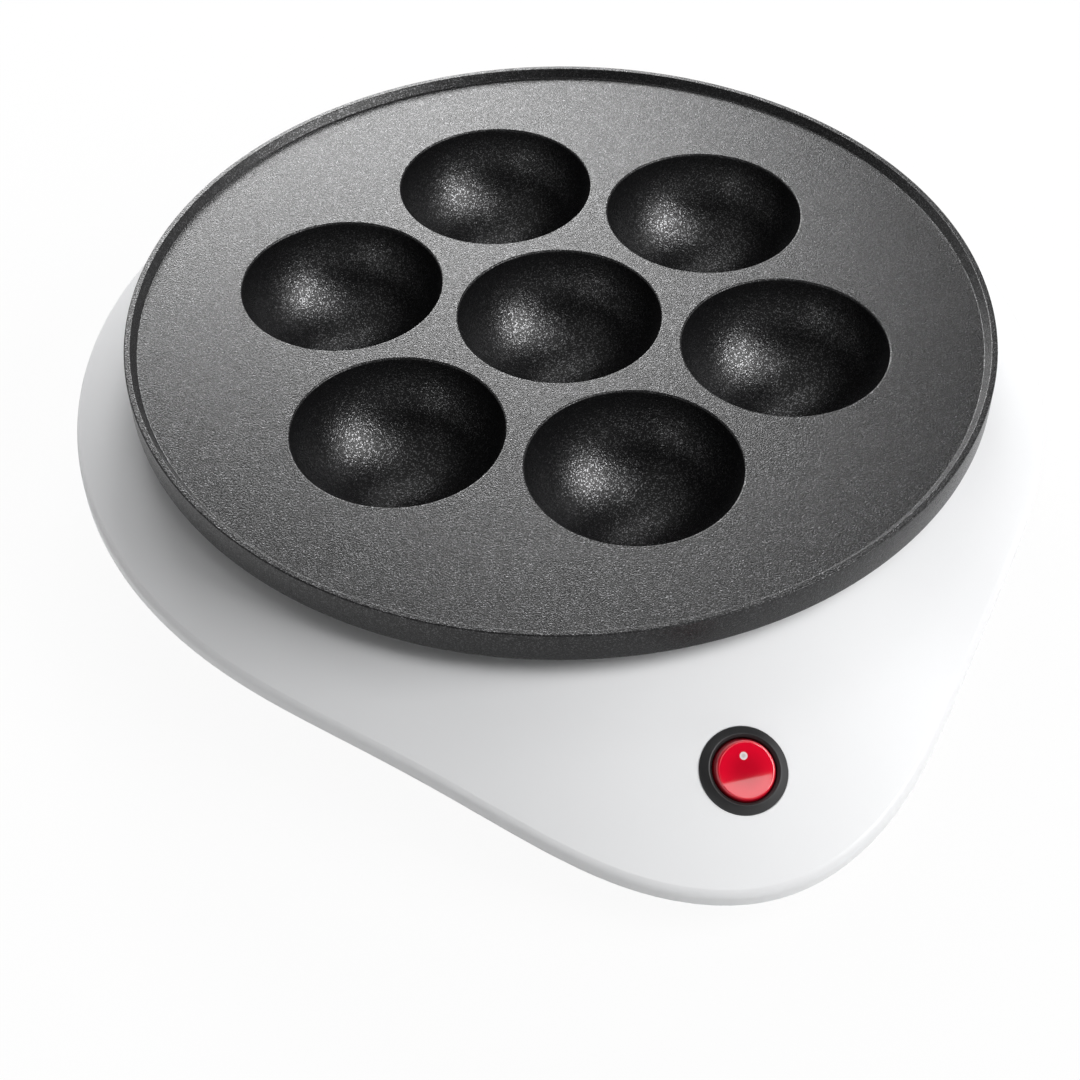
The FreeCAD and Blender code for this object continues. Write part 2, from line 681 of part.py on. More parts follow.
def cover_posts():
    posts = []
    for angle in BOLT_ANGLES:
        x, y = polar(BOLT_CIRCLE, angle)
        posts.append(cylinder(BOLT_POST_RADIUS, COVER_BASE, REFLECTOR_BASE, x, y))
    for angle in SCREW_ANGLES:
        x, y = polar(SCREW_CIRCLE, angle)
        posts.append(cylinder(SCREW_POST_RADIUS, COVER_BASE, SCREW_JOINT_HEIGHT, x, y))
    for side in (-1, 1):
        x = side * CLAMP_SPACING
        posts.append(cylinder(CLAMP_POST_RADIUS, COVER_BASE, clamp_top(), x, CLAMP_PLACE))
    cradle_top = GLAND_HEIGHT - CORD_HOLE_RADIUS
    posts.append(block(2 * CLAMP_SPACING, HOUSING_WALL, COVER_BASE, cradle_top, 0, CLAMP_PLACE))
    boss_start = UNDERSIDE_RADIUS + COVER_WALL
    posts.append(cylinder_y(GLAND_BOSS_RADIUS, boss_start, GLAND_BOSS_END, 0, GLAND_HEIGHT))
    return posts


def cover_cuts():
    cuts = []
    for angle in BOLT_ANGLES:
        x, y = polar(BOLT_CIRCLE, angle)
        cuts.append(cylinder(BOLT_RADIUS + LOOSE, COVER_BASE, REFLECTOR_BASE, x, y))
        cuts.append(cylinder(BOLT_HEAD_RADIUS + GAP, COVER_BASE, bolt_seat(), x, y))
    for angle in SCREW_ANGLES:
        x, y = polar(SCREW_CIRCLE, angle)
        cuts.append(cylinder(SCREW_RADIUS + LOOSE, COVER_BASE, SCREW_JOINT_HEIGHT, x, y))
        cuts.append(cylinder(SCREW_HEAD_RADIUS + GAP, COVER_BASE, screw_seat(), x, y))
    for angle in FOOT_ANGLES.values():
        x, y = polar(FOOT_CIRCLE, angle)
        cuts.append(cylinder(FOOT_NECK_RADIUS + LOOSE, COVER_BASE, COVER_TOP, x, y))
    for side in (-1, 1):
        x = side * CLAMP_SPACING
        low = clamp_top() - SCREW_GRIP
        cuts.append(cylinder(SMALL_SCREW_RADIUS + FIT, low, clamp_top(), x, CLAMP_PLACE))
    for i in range(VENT_SLOTS):
        y = (i - (VENT_SLOTS - 1) / 2) * VENT_SPACING
        cuts.append(block(VENT_LENGTH, VENT_WIDTH, COVER_BASE, COVER_TOP, 0, y))
    boss_start = UNDERSIDE_RADIUS + COVER_WALL
    wall = GLAND_BOSS_END - GLAND_BOSS_WALL
    cuts.append(cylinder_y(GLAND_FLANGE_RADIUS + LOOSE, boss_start, wall, 0, GLAND_HEIGHT))
    cuts.append(cylinder_y(GLAND_NECK_RADIUS + LOOSE, wall, GLAND_BOSS_END, 0, GLAND_HEIGHT))
    return cuts


def bottom_cover():
    """Bowl-shaped cover with posts for the plate's bolts and the housing's screws."""
    return fused([cover_shell()] + cover_posts()).cut(cover_cuts())


def housing_screws():
    tip = SCREW_JOINT_HEIGHT + SCREW_THREAD_LENGTH - GAP
    screws = []
    for angle in SCREW_ANGLES:
        x, y = polar(SCREW_CIRCLE, angle)
        screws.append(slotted_screw(
            SCREW_RADIUS, SCREW_HEAD_RADIUS, SCREW_HEAD_HEIGHT, screw_seat(), tip, x, y))
    return Part.makeCompound(screws)


def foot(angle):
    """Rubber foot with a neck through the cover and a head that holds it."""
    x, y = polar(FOOT_CIRCLE, angle)
    pad = cylinder(FOOT_RADIUS, 0, FOOT_HEIGHT, x, y)
    pad = pad.makeChamfer(FOOT_CHAMFER, [e for e in pad.Edges if e.BoundBox.ZMax < CLOSE])
    neck = cylinder(FOOT_NECK_RADIUS, FOOT_HEIGHT, COVER_TOP, x, y)
    head = cylinder(FOOT_HEAD_RADIUS, COVER_TOP, COVER_TOP + FOOT_HEAD_HEIGHT, x, y)
    return fused([pad, neck, head])


# --- Rocker switch --------------------------------------------------------------------------------------------


def rocker_ball(radius):
    return Part.makeSphere(radius, vec(0, 0, -ROCKER_PIVOT_DEPTH))


def spring_top():
    return ROCKER_FACE_HEIGHT - ROCKER_DISH_DEPTH - ROCKER_WALL


def switch_body():
    """Moulded case and bezel in one, open at the top for the rocker."""
    seat = -SWITCH_SEAT_DEPTH
    crest = seat + BEZEL_HEIGHT
    bezel = revolved([
        (0, seat),
        (BEZEL_RADIUS, seat),
        (BEZEL_RADIUS, seat + BEZEL_EDGE_HEIGHT),
        (BEZEL_CREST_RADIUS, crest),
        (SWITCH_MOUTH_RADIUS, crest - BEZEL_LIP_DROP),
        (0, crest - BEZEL_LIP_DROP),
    ])
    case = cylinder(SWITCH_BODY_RADIUS, -SWITCH_BODY_DEPTH, seat)
    latch_reach = 2 * (SWITCH_BODY_RADIUS + LATCH_REACH)
    latch_top = -HOUSING_WALL - 2 * GAP
    latches = block(latch_reach, LATCH_WIDTH, latch_top - LATCH_HEIGHT, latch_top)
    body = fused([bezel, case, latches])
    floor = -SWITCH_BODY_DEPTH + SWITCH_FLOOR
    cuts = [
        cylinder(SWITCH_MOUTH_RADIUS, seat, crest),
        cylinder(SWITCH_CAVITY_RADIUS, floor, seat),
        cylinder_x(TRUNNION_RADIUS + FIT, -BEZEL_RADIUS, BEZEL_RADIUS, 0, -ROCKER_PIVOT_DEPTH),
    ]
    cuts += [tab_slot(v) for v in tab_places()]
    return body.cut(cuts)


def tab_places():
    """Places along the slope of the load, common and lamp terminals."""
    return [-CONTACT_OFFSET, 0.0, CONTACT_OFFSET]


def tab_slot(v):
    floor = -SWITCH_BODY_DEPTH + SWITCH_FLOOR
    wide = TAB_WIDTH + 2 * FIT
    thick = TAB_THICKNESS + 2 * FIT
    return block(wide, thick, -SWITCH_BODY_DEPTH, floor, 0, v)


def switch_rocker():
    """Hollow ball-sided button with a dished face, a plunger hub and two trunnions."""
    slab = cylinder(ROCKER_RADIUS, -ROCKER_SKIRT_DEPTH, ROCKER_FACE_HEIGHT)
    solid = rocker_ball(ROCKER_RADIUS).common(slab)
    top = [e for e in solid.Edges if e.BoundBox.ZMin > ROCKER_FACE_HEIGHT - CLOSE]
    solid = solid.makeFillet(ROCKER_EDGE_ROUNDING, top)
    face_radius = sqrt(ROCKER_RADIUS ** 2 - (ROCKER_FACE_HEIGHT + ROCKER_PIVOT_DEPTH) ** 2)
    flat = face_radius - 2 * ROCKER_EDGE_ROUNDING
    dish_radius = (flat ** 2 + ROCKER_DISH_DEPTH ** 2) / (2 * ROCKER_DISH_DEPTH)
    dish_centre = ROCKER_FACE_HEIGHT - ROCKER_DISH_DEPTH + dish_radius
    solid = solid.cut(Part.makeSphere(dish_radius, vec(0, 0, dish_centre)))
    inner = cylinder(ROCKER_RADIUS, -ROCKER_SKIRT_DEPTH, spring_top())
    shell = solid.cut(rocker_ball(ROCKER_RADIUS - ROCKER_WALL).common(inner))
    hub = cylinder(ROCKER_HUB_RADIUS, -ROCKER_SKIRT_DEPTH, spring_top())
    parts = [shell, hub]
    start = ROCKER_RADIUS - ROCKER_WALL
    for near, far in ((start, TRUNNION_REACH), (-TRUNNION_REACH, -start)):
        parts.append(cylinder_x(TRUNNION_RADIUS, near, far, 0, -ROCKER_PIVOT_DEPTH))
    bore = cylinder(PLUNGER_RADIUS + FIT, -ROCKER_SKIRT_DEPTH, spring_top() - ROCKER_WALL)
    return fused(parts).cut(bore)


def plunger_shoulder():
    return -PLUNGER_TIP_DEPTH + PLUNGER_HEAD_LENGTH + PLUNGER_RADIUS


def switch_plunger():
    """Round-nosed plunger that slides in the rocker's hub and presses on the lever."""
    tip = Part.makeSphere(PLUNGER_RADIUS, vec(0, 0, -PLUNGER_TIP_DEPTH + PLUNGER_RADIUS))
    head = cylinder(PLUNGER_RADIUS, -PLUNGER_TIP_DEPTH + PLUNGER_RADIUS, plunger_shoulder())
    stem_top = plunger_shoulder() + PLUNGER_STEM_LENGTH
    stem = cylinder(PLUNGER_STEM_RADIUS, plunger_shoulder(), stem_top)
    return fused([tip, head, stem])


def switch_spring():
    """Coil spring between the hub's blind end and the plunger's shoulder."""
    low = plunger_shoulder() + SPRING_WIRE_RADIUS + FIT
    high = spring_top() - ROCKER_WALL - SPRING_WIRE_RADIUS - FIT
    coil = PLUNGER_RADIUS - SPRING_WIRE_RADIUS - FIT
    path = Part.makeHelix((high - low) / SPRING_TURNS, high - low, coil)
    path.translate(vec(0, 0, low))
    section = Part.Wire(Part.makeCircle(SPRING_WIRE_RADIUS, vec(coil, 0, low), vec(0, 1, 0)))
    return Part.Wire(path.Edges).makePipeShell([section], True, True)


def lever_top():
    return -PLUNGER_TIP_DEPTH - 2 * GAP


def lever_pivot_depth():
    return -lever_top() + LEVER_THICKNESS + LEVER_POST_RADIUS + FIT


def contact_lever():
    """See-saw strip that rocks on the common terminal, with a contact at the nose end."""
    low = lever_top() - LEVER_THICKNESS
    strip = block(LEVER_WIDTH, LEVER_LENGTH, low, lever_top())
    button = cylinder(CONTACT_RADIUS, low - CONTACT_HEIGHT, low, 0, -CONTACT_OFFSET)
    return fused([strip, button])


def contact_drop():
    """Depth of the lever's contact face when the lever has swung onto the fixed contact."""
    half_swing = radians(LEVER_SWING / 2)
    above = LEVER_POST_RADIUS + FIT - CONTACT_HEIGHT
    reach = CONTACT_OFFSET + CONTACT_RADIUS
    return lever_pivot_depth() - above * cos(half_swing) + reach * sin(half_swing)


def switch_terminals():
    """Load, common and lamp blades: a fixed contact, the lever's post and a plain foot."""
    floor = -SWITCH_BODY_DEPTH + SWITCH_FLOOR
    blades = []
    for v in tab_places():
        low = -SWITCH_BODY_DEPTH - TAB_LENGTH
        blades.append(block(TAB_WIDTH, TAB_THICKNESS, low, floor, 0, v))
    load, common, lamp = blades
    fixed_contact = cylinder(
        CONTACT_RADIUS, floor, -contact_drop() - GAP / 2, 0, -CONTACT_OFFSET)
    pivot = -lever_pivot_depth()
    post = block(LEVER_WIDTH, 2 * LEVER_POST_RADIUS, floor, pivot)
    ridge = cylinder_x(LEVER_POST_RADIUS, -LEVER_WIDTH / 2, LEVER_WIDTH / 2, 0, pivot)
    return Part.makeCompound([fused([load, fixed_contact]), fused([common, post, ridge]), lamp])


def neon_lamp():
    """Small glass lamp under the rocker's face."""
    height = spring_top() - LAMP_RADIUS - FIT
    return cylinder_x(LAMP_RADIUS, -LAMP_LENGTH / 2, LAMP_LENGTH / 2, LAMP_OFFSET, height)


def rocker_at_rest(shape):
    return seated(tilted(shape, ROCKER_SWING / 2, ROCKER_PIVOT_DEPTH))


def lever_at_rest(shape):
    return seated(tilted(shape, -LEVER_SWING / 2, lever_pivot_depth()))


# --- Thermostat and fuse ------------------------------------------------------------------------------------------


def bracket_top():
    return SENSOR_PAD_END - THERMOSTAT_CAP_HEIGHT


def thermostat_cap():
    x, y = polar(BOLT_CIRCLE, THERMOSTAT_ANGLE)
    return cylinder(THERMOSTAT_CAP_RADIUS, bracket_top(), SENSOR_PAD_END, x, y)


def thermostat_body():
    """Ceramic body with two flat terminals."""
    x, y = polar(BOLT_CIRCLE, THERMOSTAT_ANGLE)
    low = bracket_top() - THERMOSTAT_BODY_HEIGHT
    parts = [cylinder(THERMOSTAT_BODY_RADIUS, low, bracket_top(), x, y)]
    for side in (-1, 1):
        place = y + side * THERMOSTAT_BODY_RADIUS / 2
        parts.append(block(TAB_WIDTH, TAB_THICKNESS, low - PIN_LENGTH, low, x, place))
    return fused(parts)


def thermostat_bracket():
    """Strip with an ear at each end that presses the thermostat to the plate."""
    x, y = polar(BOLT_CIRCLE, THERMOSTAT_ANGLE)
    low = bracket_top() - BRACKET_THICKNESS
    parts = [cylinder(THERMOSTAT_CAP_RADIUS, low, bracket_top(), x, y)]
    parts.append(block(
        2 * BRACKET_EAR_RADIUS, 2 * BRACKET_EAR_OFFSET, low, bracket_top(), x, y))
    cuts = [cylinder(THERMOSTAT_BODY_RADIUS + FIT, low, bracket_top(), x, y)]
    for side in (-1, 1):
        place = y + side * BRACKET_EAR_OFFSET
        parts.append(cylinder(BRACKET_EAR_RADIUS, low, bracket_top(), x, place))
        cuts.append(cylinder(SMALL_SCREW_RADIUS + LOOSE, low, bracket_top(), x, place))
    return fused(parts).cut(cuts)


def small_screw(head_top, tip, x, y):
    return slotted_screw(
        SMALL_SCREW_RADIUS, SMALL_SCREW_HEAD_RADIUS, SMALL_SCREW_HEAD_HEIGHT, head_top, tip, x, y)


def sensor_screws():
    thermostat = sensor_screw_places()[:2]
    fuse = sensor_screw_places()[2:]
    tip = PLATE_UNDERSIDE - GAP
    screws = [small_screw(end - BRACKET_THICKNESS, tip, x, y) for x, y, end in thermostat]
    screws += [small_screw(end - CLIP_THICKNESS, tip, x, y) for x, y, end in fuse]
    return Part.makeCompound(screws)


def sleeve_radius():
    return FUSE_RADIUS + SLEEVE_WALL


def sleeve_height():
    return SENSOR_PAD_END - sleeve_radius() - FIT


def thermal_fuse():
    x, y = polar(BOLT_CIRCLE, FUSE_ANGLE)
    half = FUSE_LENGTH / 2
    return cylinder_y(FUSE_RADIUS, y - half, y + half, x, sleeve_height())


def fuse_sleeve():
    x, y = polar(BOLT_CIRCLE, FUSE_ANGLE)
    half = SLEEVE_LENGTH / 2
    outer = cylinder_y(sleeve_radius(), y - half, y + half, x, sleeve_height())
    return outer.cut(cylinder_y(FUSE_RADIUS + FIT, y - half, y + half, x, sleeve_height()))


def fuse_clip():
    """Strap over the sleeve with an ear on each side."""
    x, y = polar(BOLT_CIRCLE, FUSE_ANGLE)
    inner = sleeve_radius() + FIT
    outer = inner + CLIP_THICKNESS
    top = SENSOR_PAD_END
    near = y - CLIP_WIDTH / 2
    far = y + CLIP_WIDTH / 2
    parts = [cylinder_y(outer, near, far, x, sleeve_height())]
    parts.append(block(2 * outer, CLIP_WIDTH, sleeve_height(), top, x, y))
    parts.append(block(2 * CLIP_EAR_OFFSET, CLIP_WIDTH, top - CLIP_THICKNESS, top, x, y))
    cuts = [cylinder_y(inner, near, far, x, sleeve_height())]
    cuts.append(block(2 * inner, CLIP_WIDTH, sleeve_height(), top, x, y))
    cuts.append(block(2 * outer, CLIP_WIDTH, top, top + outer, x, y))
    for side in (-1, 1):
        place = x + side * CLIP_EAR_OFFSET
        parts.append(cylinder(CLIP_EAR_RADIUS, top - CLIP_THICKNESS, top, place, y))
        cuts.append(cylinder(SMALL_SCREW_RADIUS + LOOSE, top - CLIP_THICKNESS, top, place, y))
    return fused(parts).cut(cuts)


# --- Cord entry and wiring ----------------------------------------------------------------------------------------


def cord_gland():
    """Flexible bush in the rear of the cover, bored for the supply cord."""
    wall = GLAND_BOSS_END - GLAND_BOSS_WALL
    near = wall - GLAND_FLANGE_THICKNESS
    far = GLAND_BOSS_END + GLAND_FLANGE_THICKNESS
    parts = [
        cylinder_y(GLAND_FLANGE_RADIUS, near, wall, 0, GLAND_HEIGHT),
        cylinder_y(GLAND_NECK_RADIUS, wall, GLAND_BOSS_END, 0, GLAND_HEIGHT),
        cylinder_y(GLAND_FLANGE_RADIUS, GLAND_BOSS_END, far, 0, GLAND_HEIGHT),
    ]
    return fused(parts).cut(cylinder_y(CORD_HOLE_RADIUS, near, far, 0, GLAND_HEIGHT))


def cord_clamp():
    low = clamp_top()
    high = low + CLAMP_BAR_THICKNESS
    bar = block(CLAMP_BAR_LENGTH, CLAMP_BAR_WIDTH, low, high, 0, CLAMP_PLACE)
    holes = []
    for side in (-1, 1):
        x = side * CLAMP_SPACING
        holes.append(cylinder(SMALL_SCREW_RADIUS + LOOSE, low, high, x, CLAMP_PLACE))
    return bar.cut(holes)


def clamp_screws():
    """Screws driven down through the clamp bar into its posts."""
    seat = clamp_top() + CLAMP_BAR_THICKNESS
    top = seat + SMALL_SCREW_HEAD_HEIGHT
    screws = []
    for side in (-1, 1):
        x = side * CLAMP_SPACING
        tip = clamp_top() - SCREW_GRIP + GAP
        shank = cylinder(SMALL_SCREW_RADIUS, tip, seat, x, CLAMP_PLACE)
        head = cylinder(SMALL_SCREW_HEAD_RADIUS, seat, top, x, CLAMP_PLACE)
        slot = block(2 * SMALL_SCREW_HEAD_RADIUS, DRIVE_SLOT_WIDTH,
                     top - DRIVE_SLOT_DEPTH, top, x, CLAMP_PLACE)
        screws.append(head.fuse(shank).removeSplitter().cut(slot))
    return Part.makeCompound(screws)


def pole_places():
    return [(i - (BLOCK_POLES - 1) / 2) * BLOCK_POLE_PITCH for i in range(BLOCK_POLES)]


def terminal_block():
    """Insulated block with a wire hole and a screw well for each pole."""
    width = BLOCK_POLES * BLOCK_POLE_PITCH
    high = COVER_TOP + BLOCK_HEIGHT
    body = block(width, BLOCK_LENGTH, COVER_TOP, high, 0, BLOCK_PLACE)
    middle = COVER_TOP + BLOCK_HEIGHT / 2
    cuts = []
    for x in pole_places():
        near = BLOCK_PLACE - BLOCK_LENGTH / 2
        far = BLOCK_PLACE + BLOCK_LENGTH / 2
        cuts.append(cylinder_y(BLOCK_HOLE_RADIUS, near, far, x, middle))
        cuts.append(cylinder(SMALL_SCREW_RADIUS + LOOSE, middle, high, x, BLOCK_PLACE))
    return body.cut(cuts)


def block_screws():
    """Clamping screws of the terminal block, one to a pole."""
    high = COVER_TOP + BLOCK_HEIGHT
    low = COVER_TOP + BLOCK_HEIGHT / 2
    screws = []
    for x in pole_places():
        body = cylinder(SMALL_SCREW_RADIUS, low, high, x, BLOCK_PLACE)
        slot = block(2 * SMALL_SCREW_RADIUS, DRIVE_SLOT_WIDTH,
                     high - DRIVE_SLOT_DEPTH, high, x, BLOCK_PLACE)
        screws.append(body.cut(slot))
    return Part.makeCompound(screws)


def earth_tab():
    """Strip under the reflector's floor for the earth lead."""
    x, y = EARTH_TAB_PLACE
    low = REFLECTOR_BASE - EARTH_TAB_THICKNESS
    strip = block(EARTH_TAB_WIDTH, EARTH_TAB_LENGTH, low, REFLECTOR_BASE, x, y)
    return strip.cut(cylinder(SMALL_SCREW_RADIUS + LOOSE, low, REFLECTOR_BASE, x, y))


def earth_screw():
    x, y = EARTH_TAB_PLACE
    head_top = REFLECTOR_BASE - EARTH_TAB_THICKNESS
    return small_screw(head_top, REFLECTOR_TOP + GAP, x, y)


# --- Internal leads, as (x, y, z) stops. Stops on the cover's floor are chosen by hand. -----------


def floor_stops(places):
    lay = COVER_TOP + WIRE_RADIUS + LOOSE
    return [(x, y, lay) for x, y in places]


def block_stops(pole):
    """From inside a pole of the terminal block out towards the nose."""
    x = pole_places()[pole]
    mouth = BLOCK_PLACE - BLOCK_LENGTH / 2
    middle = COVER_TOP + BLOCK_HEIGHT / 2
    return [(x, mouth + WIRE_INSERT, middle), (x, mouth - WIRE_TURN, middle)]


def tab_stops(v, side):
    """From beside a switch blade out to the side."""
    height = -SWITCH_BODY_DEPTH - TAB_LENGTH + WIRE_RADIUS
    beside = switch_frame().multVec(vec(0, v, height))
    near = side * (TAB_WIDTH / 2 + GAP)
    return [(near, beside.y, beside.z), (near + side * WIRE_TURN, beside.y, beside.z)]


def pin_stops(side):
    """From beside an element pin's blade out to the side."""
    x, y = element_legs()[0]
    height = element_end() - PIN_LENGTH + PIN_LENGTH / 4
    near = x + TAB_WIDTH / 2 + GAP
    return [(side * near, y, height), (side * (near + WIRE_TURN), y, height)]


def grommet_stops(place, lane):
    """Upright run through a grommet, from below the reflector to above it."""
    x, y = place
    low = REFLECTOR_BASE - GROMMET_LEAD_BELOW
    return [(x, y + lane, low), (x, y + lane, REFLECTOR_TOP + GROMMET_LEAD_ABOVE)]


def thermostat_stop(side):
    """Beside a blade of the thermostat, on the side of the plate's axis."""
    x, y = polar(BOLT_CIRCLE, THERMOSTAT_ANGLE)
    height = bracket_top() - THERMOSTAT_BODY_HEIGHT - PIN_LENGTH / 2
    return (x - TAB_WIDTH / 2 - WIRE_RADIUS, y + side * THERMOSTAT_BODY_RADIUS / 2, height)


def fuse_stops(side):
    """Out of the end of the fuse's sleeve, then down."""
    x, y = polar(BOLT_CIRCLE, FUSE_ANGLE)
    inner = y + side * (FUSE_LENGTH / 2 + GAP)
    outer = y + side * (SLEEVE_LENGTH / 2 + FUSE_LEAD_REACH)
    low = sleeve_height() - WIRE_TURN
    return [(x, inner, sleeve_height()), (x, outer, sleeve_height()), (x, outer, low)]


def wire_live():
    floor = floor_stops([(14, 50), (20, 0), (12, -60), (16, -115)])
    end = tab_stops(tab_places()[1], 1)
    return routed_wire(block_stops(3) + floor + end[::-1])


def wire_lamp():
    floor = floor_stops([(-5, 48), (-4, 0), (-12, -60), (-20, -112)])
    end = tab_stops(tab_places()[2], -1)
    return routed_wire(block_stops(1) + floor + end[::-1])


def wire_load():
    start = tab_stops(tab_places()[0], 1)
    floor = floor_stops([(26, -126), (30, -80), (58, -40), (73, -16)])
    rise = grommet_stops(grommet_places()[0], -WIRE_LANE)
    return routed_wire(start + floor + rise + [thermostat_stop(-1)])


def wire_heater():
    fall = grommet_stops(grommet_places()[0], WIRE_LANE)[::-1]
    floor = floor_stops([(66, 8), (44, 20)])
    end = pin_stops(1)
    return routed_wire([thermostat_stop(1)] + fall + floor + end[::-1])


def wire_fuse():
    fall = grommet_stops(grommet_places()[1], -WIRE_LANE)[::-1]
    floor = floor_stops([(-66, -6), (-42, 12)])
    end = pin_stops(-1)
    return routed_wire(fuse_stops(-1) + fall + floor + end[::-1])


def wire_neutral():
    floor = floor_stops([(-24, 56), (-56, 40), (-73, 18)])
    rise = grommet_stops(grommet_places()[1], WIRE_LANE)
    end = fuse_stops(1)
    return routed_wire(block_stops(0) + floor + rise + end[::-1])


def wire_earth():
    x, y = EARTH_TAB_PLACE
    end_y = y + EARTH_TAB_LENGTH / 2 + GAP
    height = REFLECTOR_BASE - WIRE_RADIUS - LOOSE
    end = [(x, end_y + EARTH_LEAD_RUN, height), (x, end_y, height)]
    floor = floor_stops([(6, 48), (8, 0), (3, -40)])
    return routed_wire(block_stops(2) + floor + end)


def routed_wire(points):
    """Round wire along straight runs joined by tangent arcs, as large as the runs allow."""
    stops = [vec(*point) for point in points]
    edges = []
    start = stops[0]
    for before, corner, after in zip(stops, stops[1:], stops[2:]):
        inward = (before - corner).normalize()
        outward = (after - corner).normalize()
        reach = ARC_SHARE * min(before.distanceToPoint(corner), after.distanceToPoint(corner))
        bisector = (inward + outward).normalize()
        half = inward.getAngle(outward) / 2
        radius = reach * tan(half)
        centre = corner + bisector * (radius / sin(half))
        middle = centre - bisector * radius
        enter = corner + inward * reach
        leave = corner + outward * reach
        edges.append(Part.makeLine(start, enter))
        edges.append(Part.Arc(enter, middle, leave).toShape())
        start = leave
    edges.append(Part.makeLine(start, stops[-1]))
    path = Part.Wire(edges)
    section = Part.Wire(Part.makeCircle(WIRE_RADIUS, stops[0], stops[1] - stops[0]))
    return path.makePipeShell([section], True, True)


PARTS = {
    "cooking_plate": cooking_plate,
    "heating_element": heating_element,
    "element_pins": element_pins,
    "element_bushes": element_bushes,
    "reflector_pan": reflector_pan,
    "wire_grommets": wire_grommets,
    "plate_spacers": plate_spacers,
    "plate_bolts": plate_bolts,
    "upper_housing": upper_housing,
    "bottom_cover": bottom_cover,
    "housing_screws": housing_screws,
    "switch_body": lambda: seated(switch_body()),
    "switch_terminals": lambda: seated(switch_terminals()),
    "switch_rocker": lambda: rocker_at_rest(switch_rocker()),
    "switch_plunger": lambda: rocker_at_rest(switch_plunger()),
    "switch_spring": lambda: rocker_at_rest(switch_spring()),
    "neon_lamp": lambda: rocker_at_rest(neon_lamp()),
    "contact_lever": lambda: lever_at_rest(contact_lever()),
    "thermostat_cap": thermostat_cap,
    "thermostat_body": thermostat_body,
    "thermostat_bracket": thermostat_bracket,
    "thermal_fuse": thermal_fuse,
    "fuse_sleeve": fuse_sleeve,
    "fuse_clip": fuse_clip,
    "sensor_screws": sensor_screws,
    "cord_gland": cord_gland,
    "cord_clamp": cord_clamp,
    "clamp_screws": clamp_screws,
    "terminal_block": terminal_block,
    "block_screws": block_screws,
    "earth_tab": earth_tab,
    "earth_screw": earth_screw,
    "wire_live": wire_live,
    "wire_load": wire_load,
    "wire_heater": wire_heater,
    "wire_fuse": wire_fuse,
    "wire_neutral": wire_neutral,
    "wire_lamp": wire_lamp,
    "wire_earth": wire_earth,
}


def main():
    os.makedirs("parts", exist_ok=True)
    shapes = {name: make() for name, make in PARTS.items()}
    for name, angle in FOOT_ANGLES.items():
        shapes["foot_" + name] = foot(angle)
    for name, shape in shapes.items():
        shape.translate(vec(0, PLATE_Y, 0))
        shape.exportStep("parts/" + name + ".step")
        box = shape.BoundBox
        print("%-20s valid %s solids %d volume %.0f x %.1f %.1f y %.1f %.1f z %.1f %.1f" % (
            name, shape.isValid(), len(shape.Solids), shape.Volume,
            box.XMin, box.XMax, box.YMin, box.YMax, box.ZMin, box.ZMax))


main()
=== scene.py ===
"""Looks of an electric takoyaki maker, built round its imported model. Runs as a Blender script."""
import json
from math import asin, atan2, cos, pi, radians, sin, sqrt, tan
from types import SimpleNamespace

import bpy
from bpy.props import FloatProperty, FloatVectorProperty, IntProperty, PointerProperty
from mathutils import Matrix, Quaternion, Vector


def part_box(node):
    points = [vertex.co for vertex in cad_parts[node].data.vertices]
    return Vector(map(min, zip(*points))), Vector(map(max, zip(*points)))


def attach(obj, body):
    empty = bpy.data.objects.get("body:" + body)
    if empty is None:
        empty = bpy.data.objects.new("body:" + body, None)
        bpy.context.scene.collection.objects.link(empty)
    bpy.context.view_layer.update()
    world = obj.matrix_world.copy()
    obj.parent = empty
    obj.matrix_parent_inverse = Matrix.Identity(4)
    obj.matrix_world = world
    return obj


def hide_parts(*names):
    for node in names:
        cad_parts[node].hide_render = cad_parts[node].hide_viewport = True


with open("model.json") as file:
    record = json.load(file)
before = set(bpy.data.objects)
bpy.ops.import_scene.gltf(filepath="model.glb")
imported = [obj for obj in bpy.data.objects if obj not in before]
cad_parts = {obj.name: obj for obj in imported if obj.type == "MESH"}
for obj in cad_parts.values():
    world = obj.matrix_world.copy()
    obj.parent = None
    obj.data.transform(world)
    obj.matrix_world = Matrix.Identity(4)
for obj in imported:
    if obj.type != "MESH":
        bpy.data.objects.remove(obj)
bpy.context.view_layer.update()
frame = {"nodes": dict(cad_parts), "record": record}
RECORD = frame["record"]
PLATE_LOW, PLATE_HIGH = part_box("cooking_plate")
PLATE_Y = (PLATE_LOW.y + PLATE_HIGH.y) / 2
FOOT_LOW, FOOT_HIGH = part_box("foot_rear_right")
BOLT_LOW, BOLT_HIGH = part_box("plate_bolts")
SCREW_LOW, SCREW_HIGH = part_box("housing_screws")
GLAND_LOW, GLAND_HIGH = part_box("cord_gland")
ROCKER_PIVOT = Vector(RECORD["behaviour"]["joints"][0]["pos_m"])

bl_info = {
    "name": "Takoyaki Maker",
    "version": (1, 0, 0),
    "blender": (4, 5, 0),
    "location": "3D View > Sidebar > Takoyaki",
    "description": "Builds the finishes, fine shapes and studio of an electric takoyaki maker",
    "category": "Object",
}

MM = 0.001


# --- Sizes, colours and studio settings ---


def colour(name, description, value):
    return FloatVectorProperty(
        name=name, description=description, default=value, subtype="COLOR", min=0.0, max=1.0)


def number(name, description, value, **kind):
    return FloatProperty(name=name, description=description, default=value, **kind)


def length(name, description, millimetres):
    return number(name, description, millimetres * MM, unit="LENGTH", precision=5)


def angle(name, description, degrees):
    return number(name, description, radians(degrees), subtype="ANGLE")


def power(name, description, watts):
    return number(name, description, watts, unit="POWER")


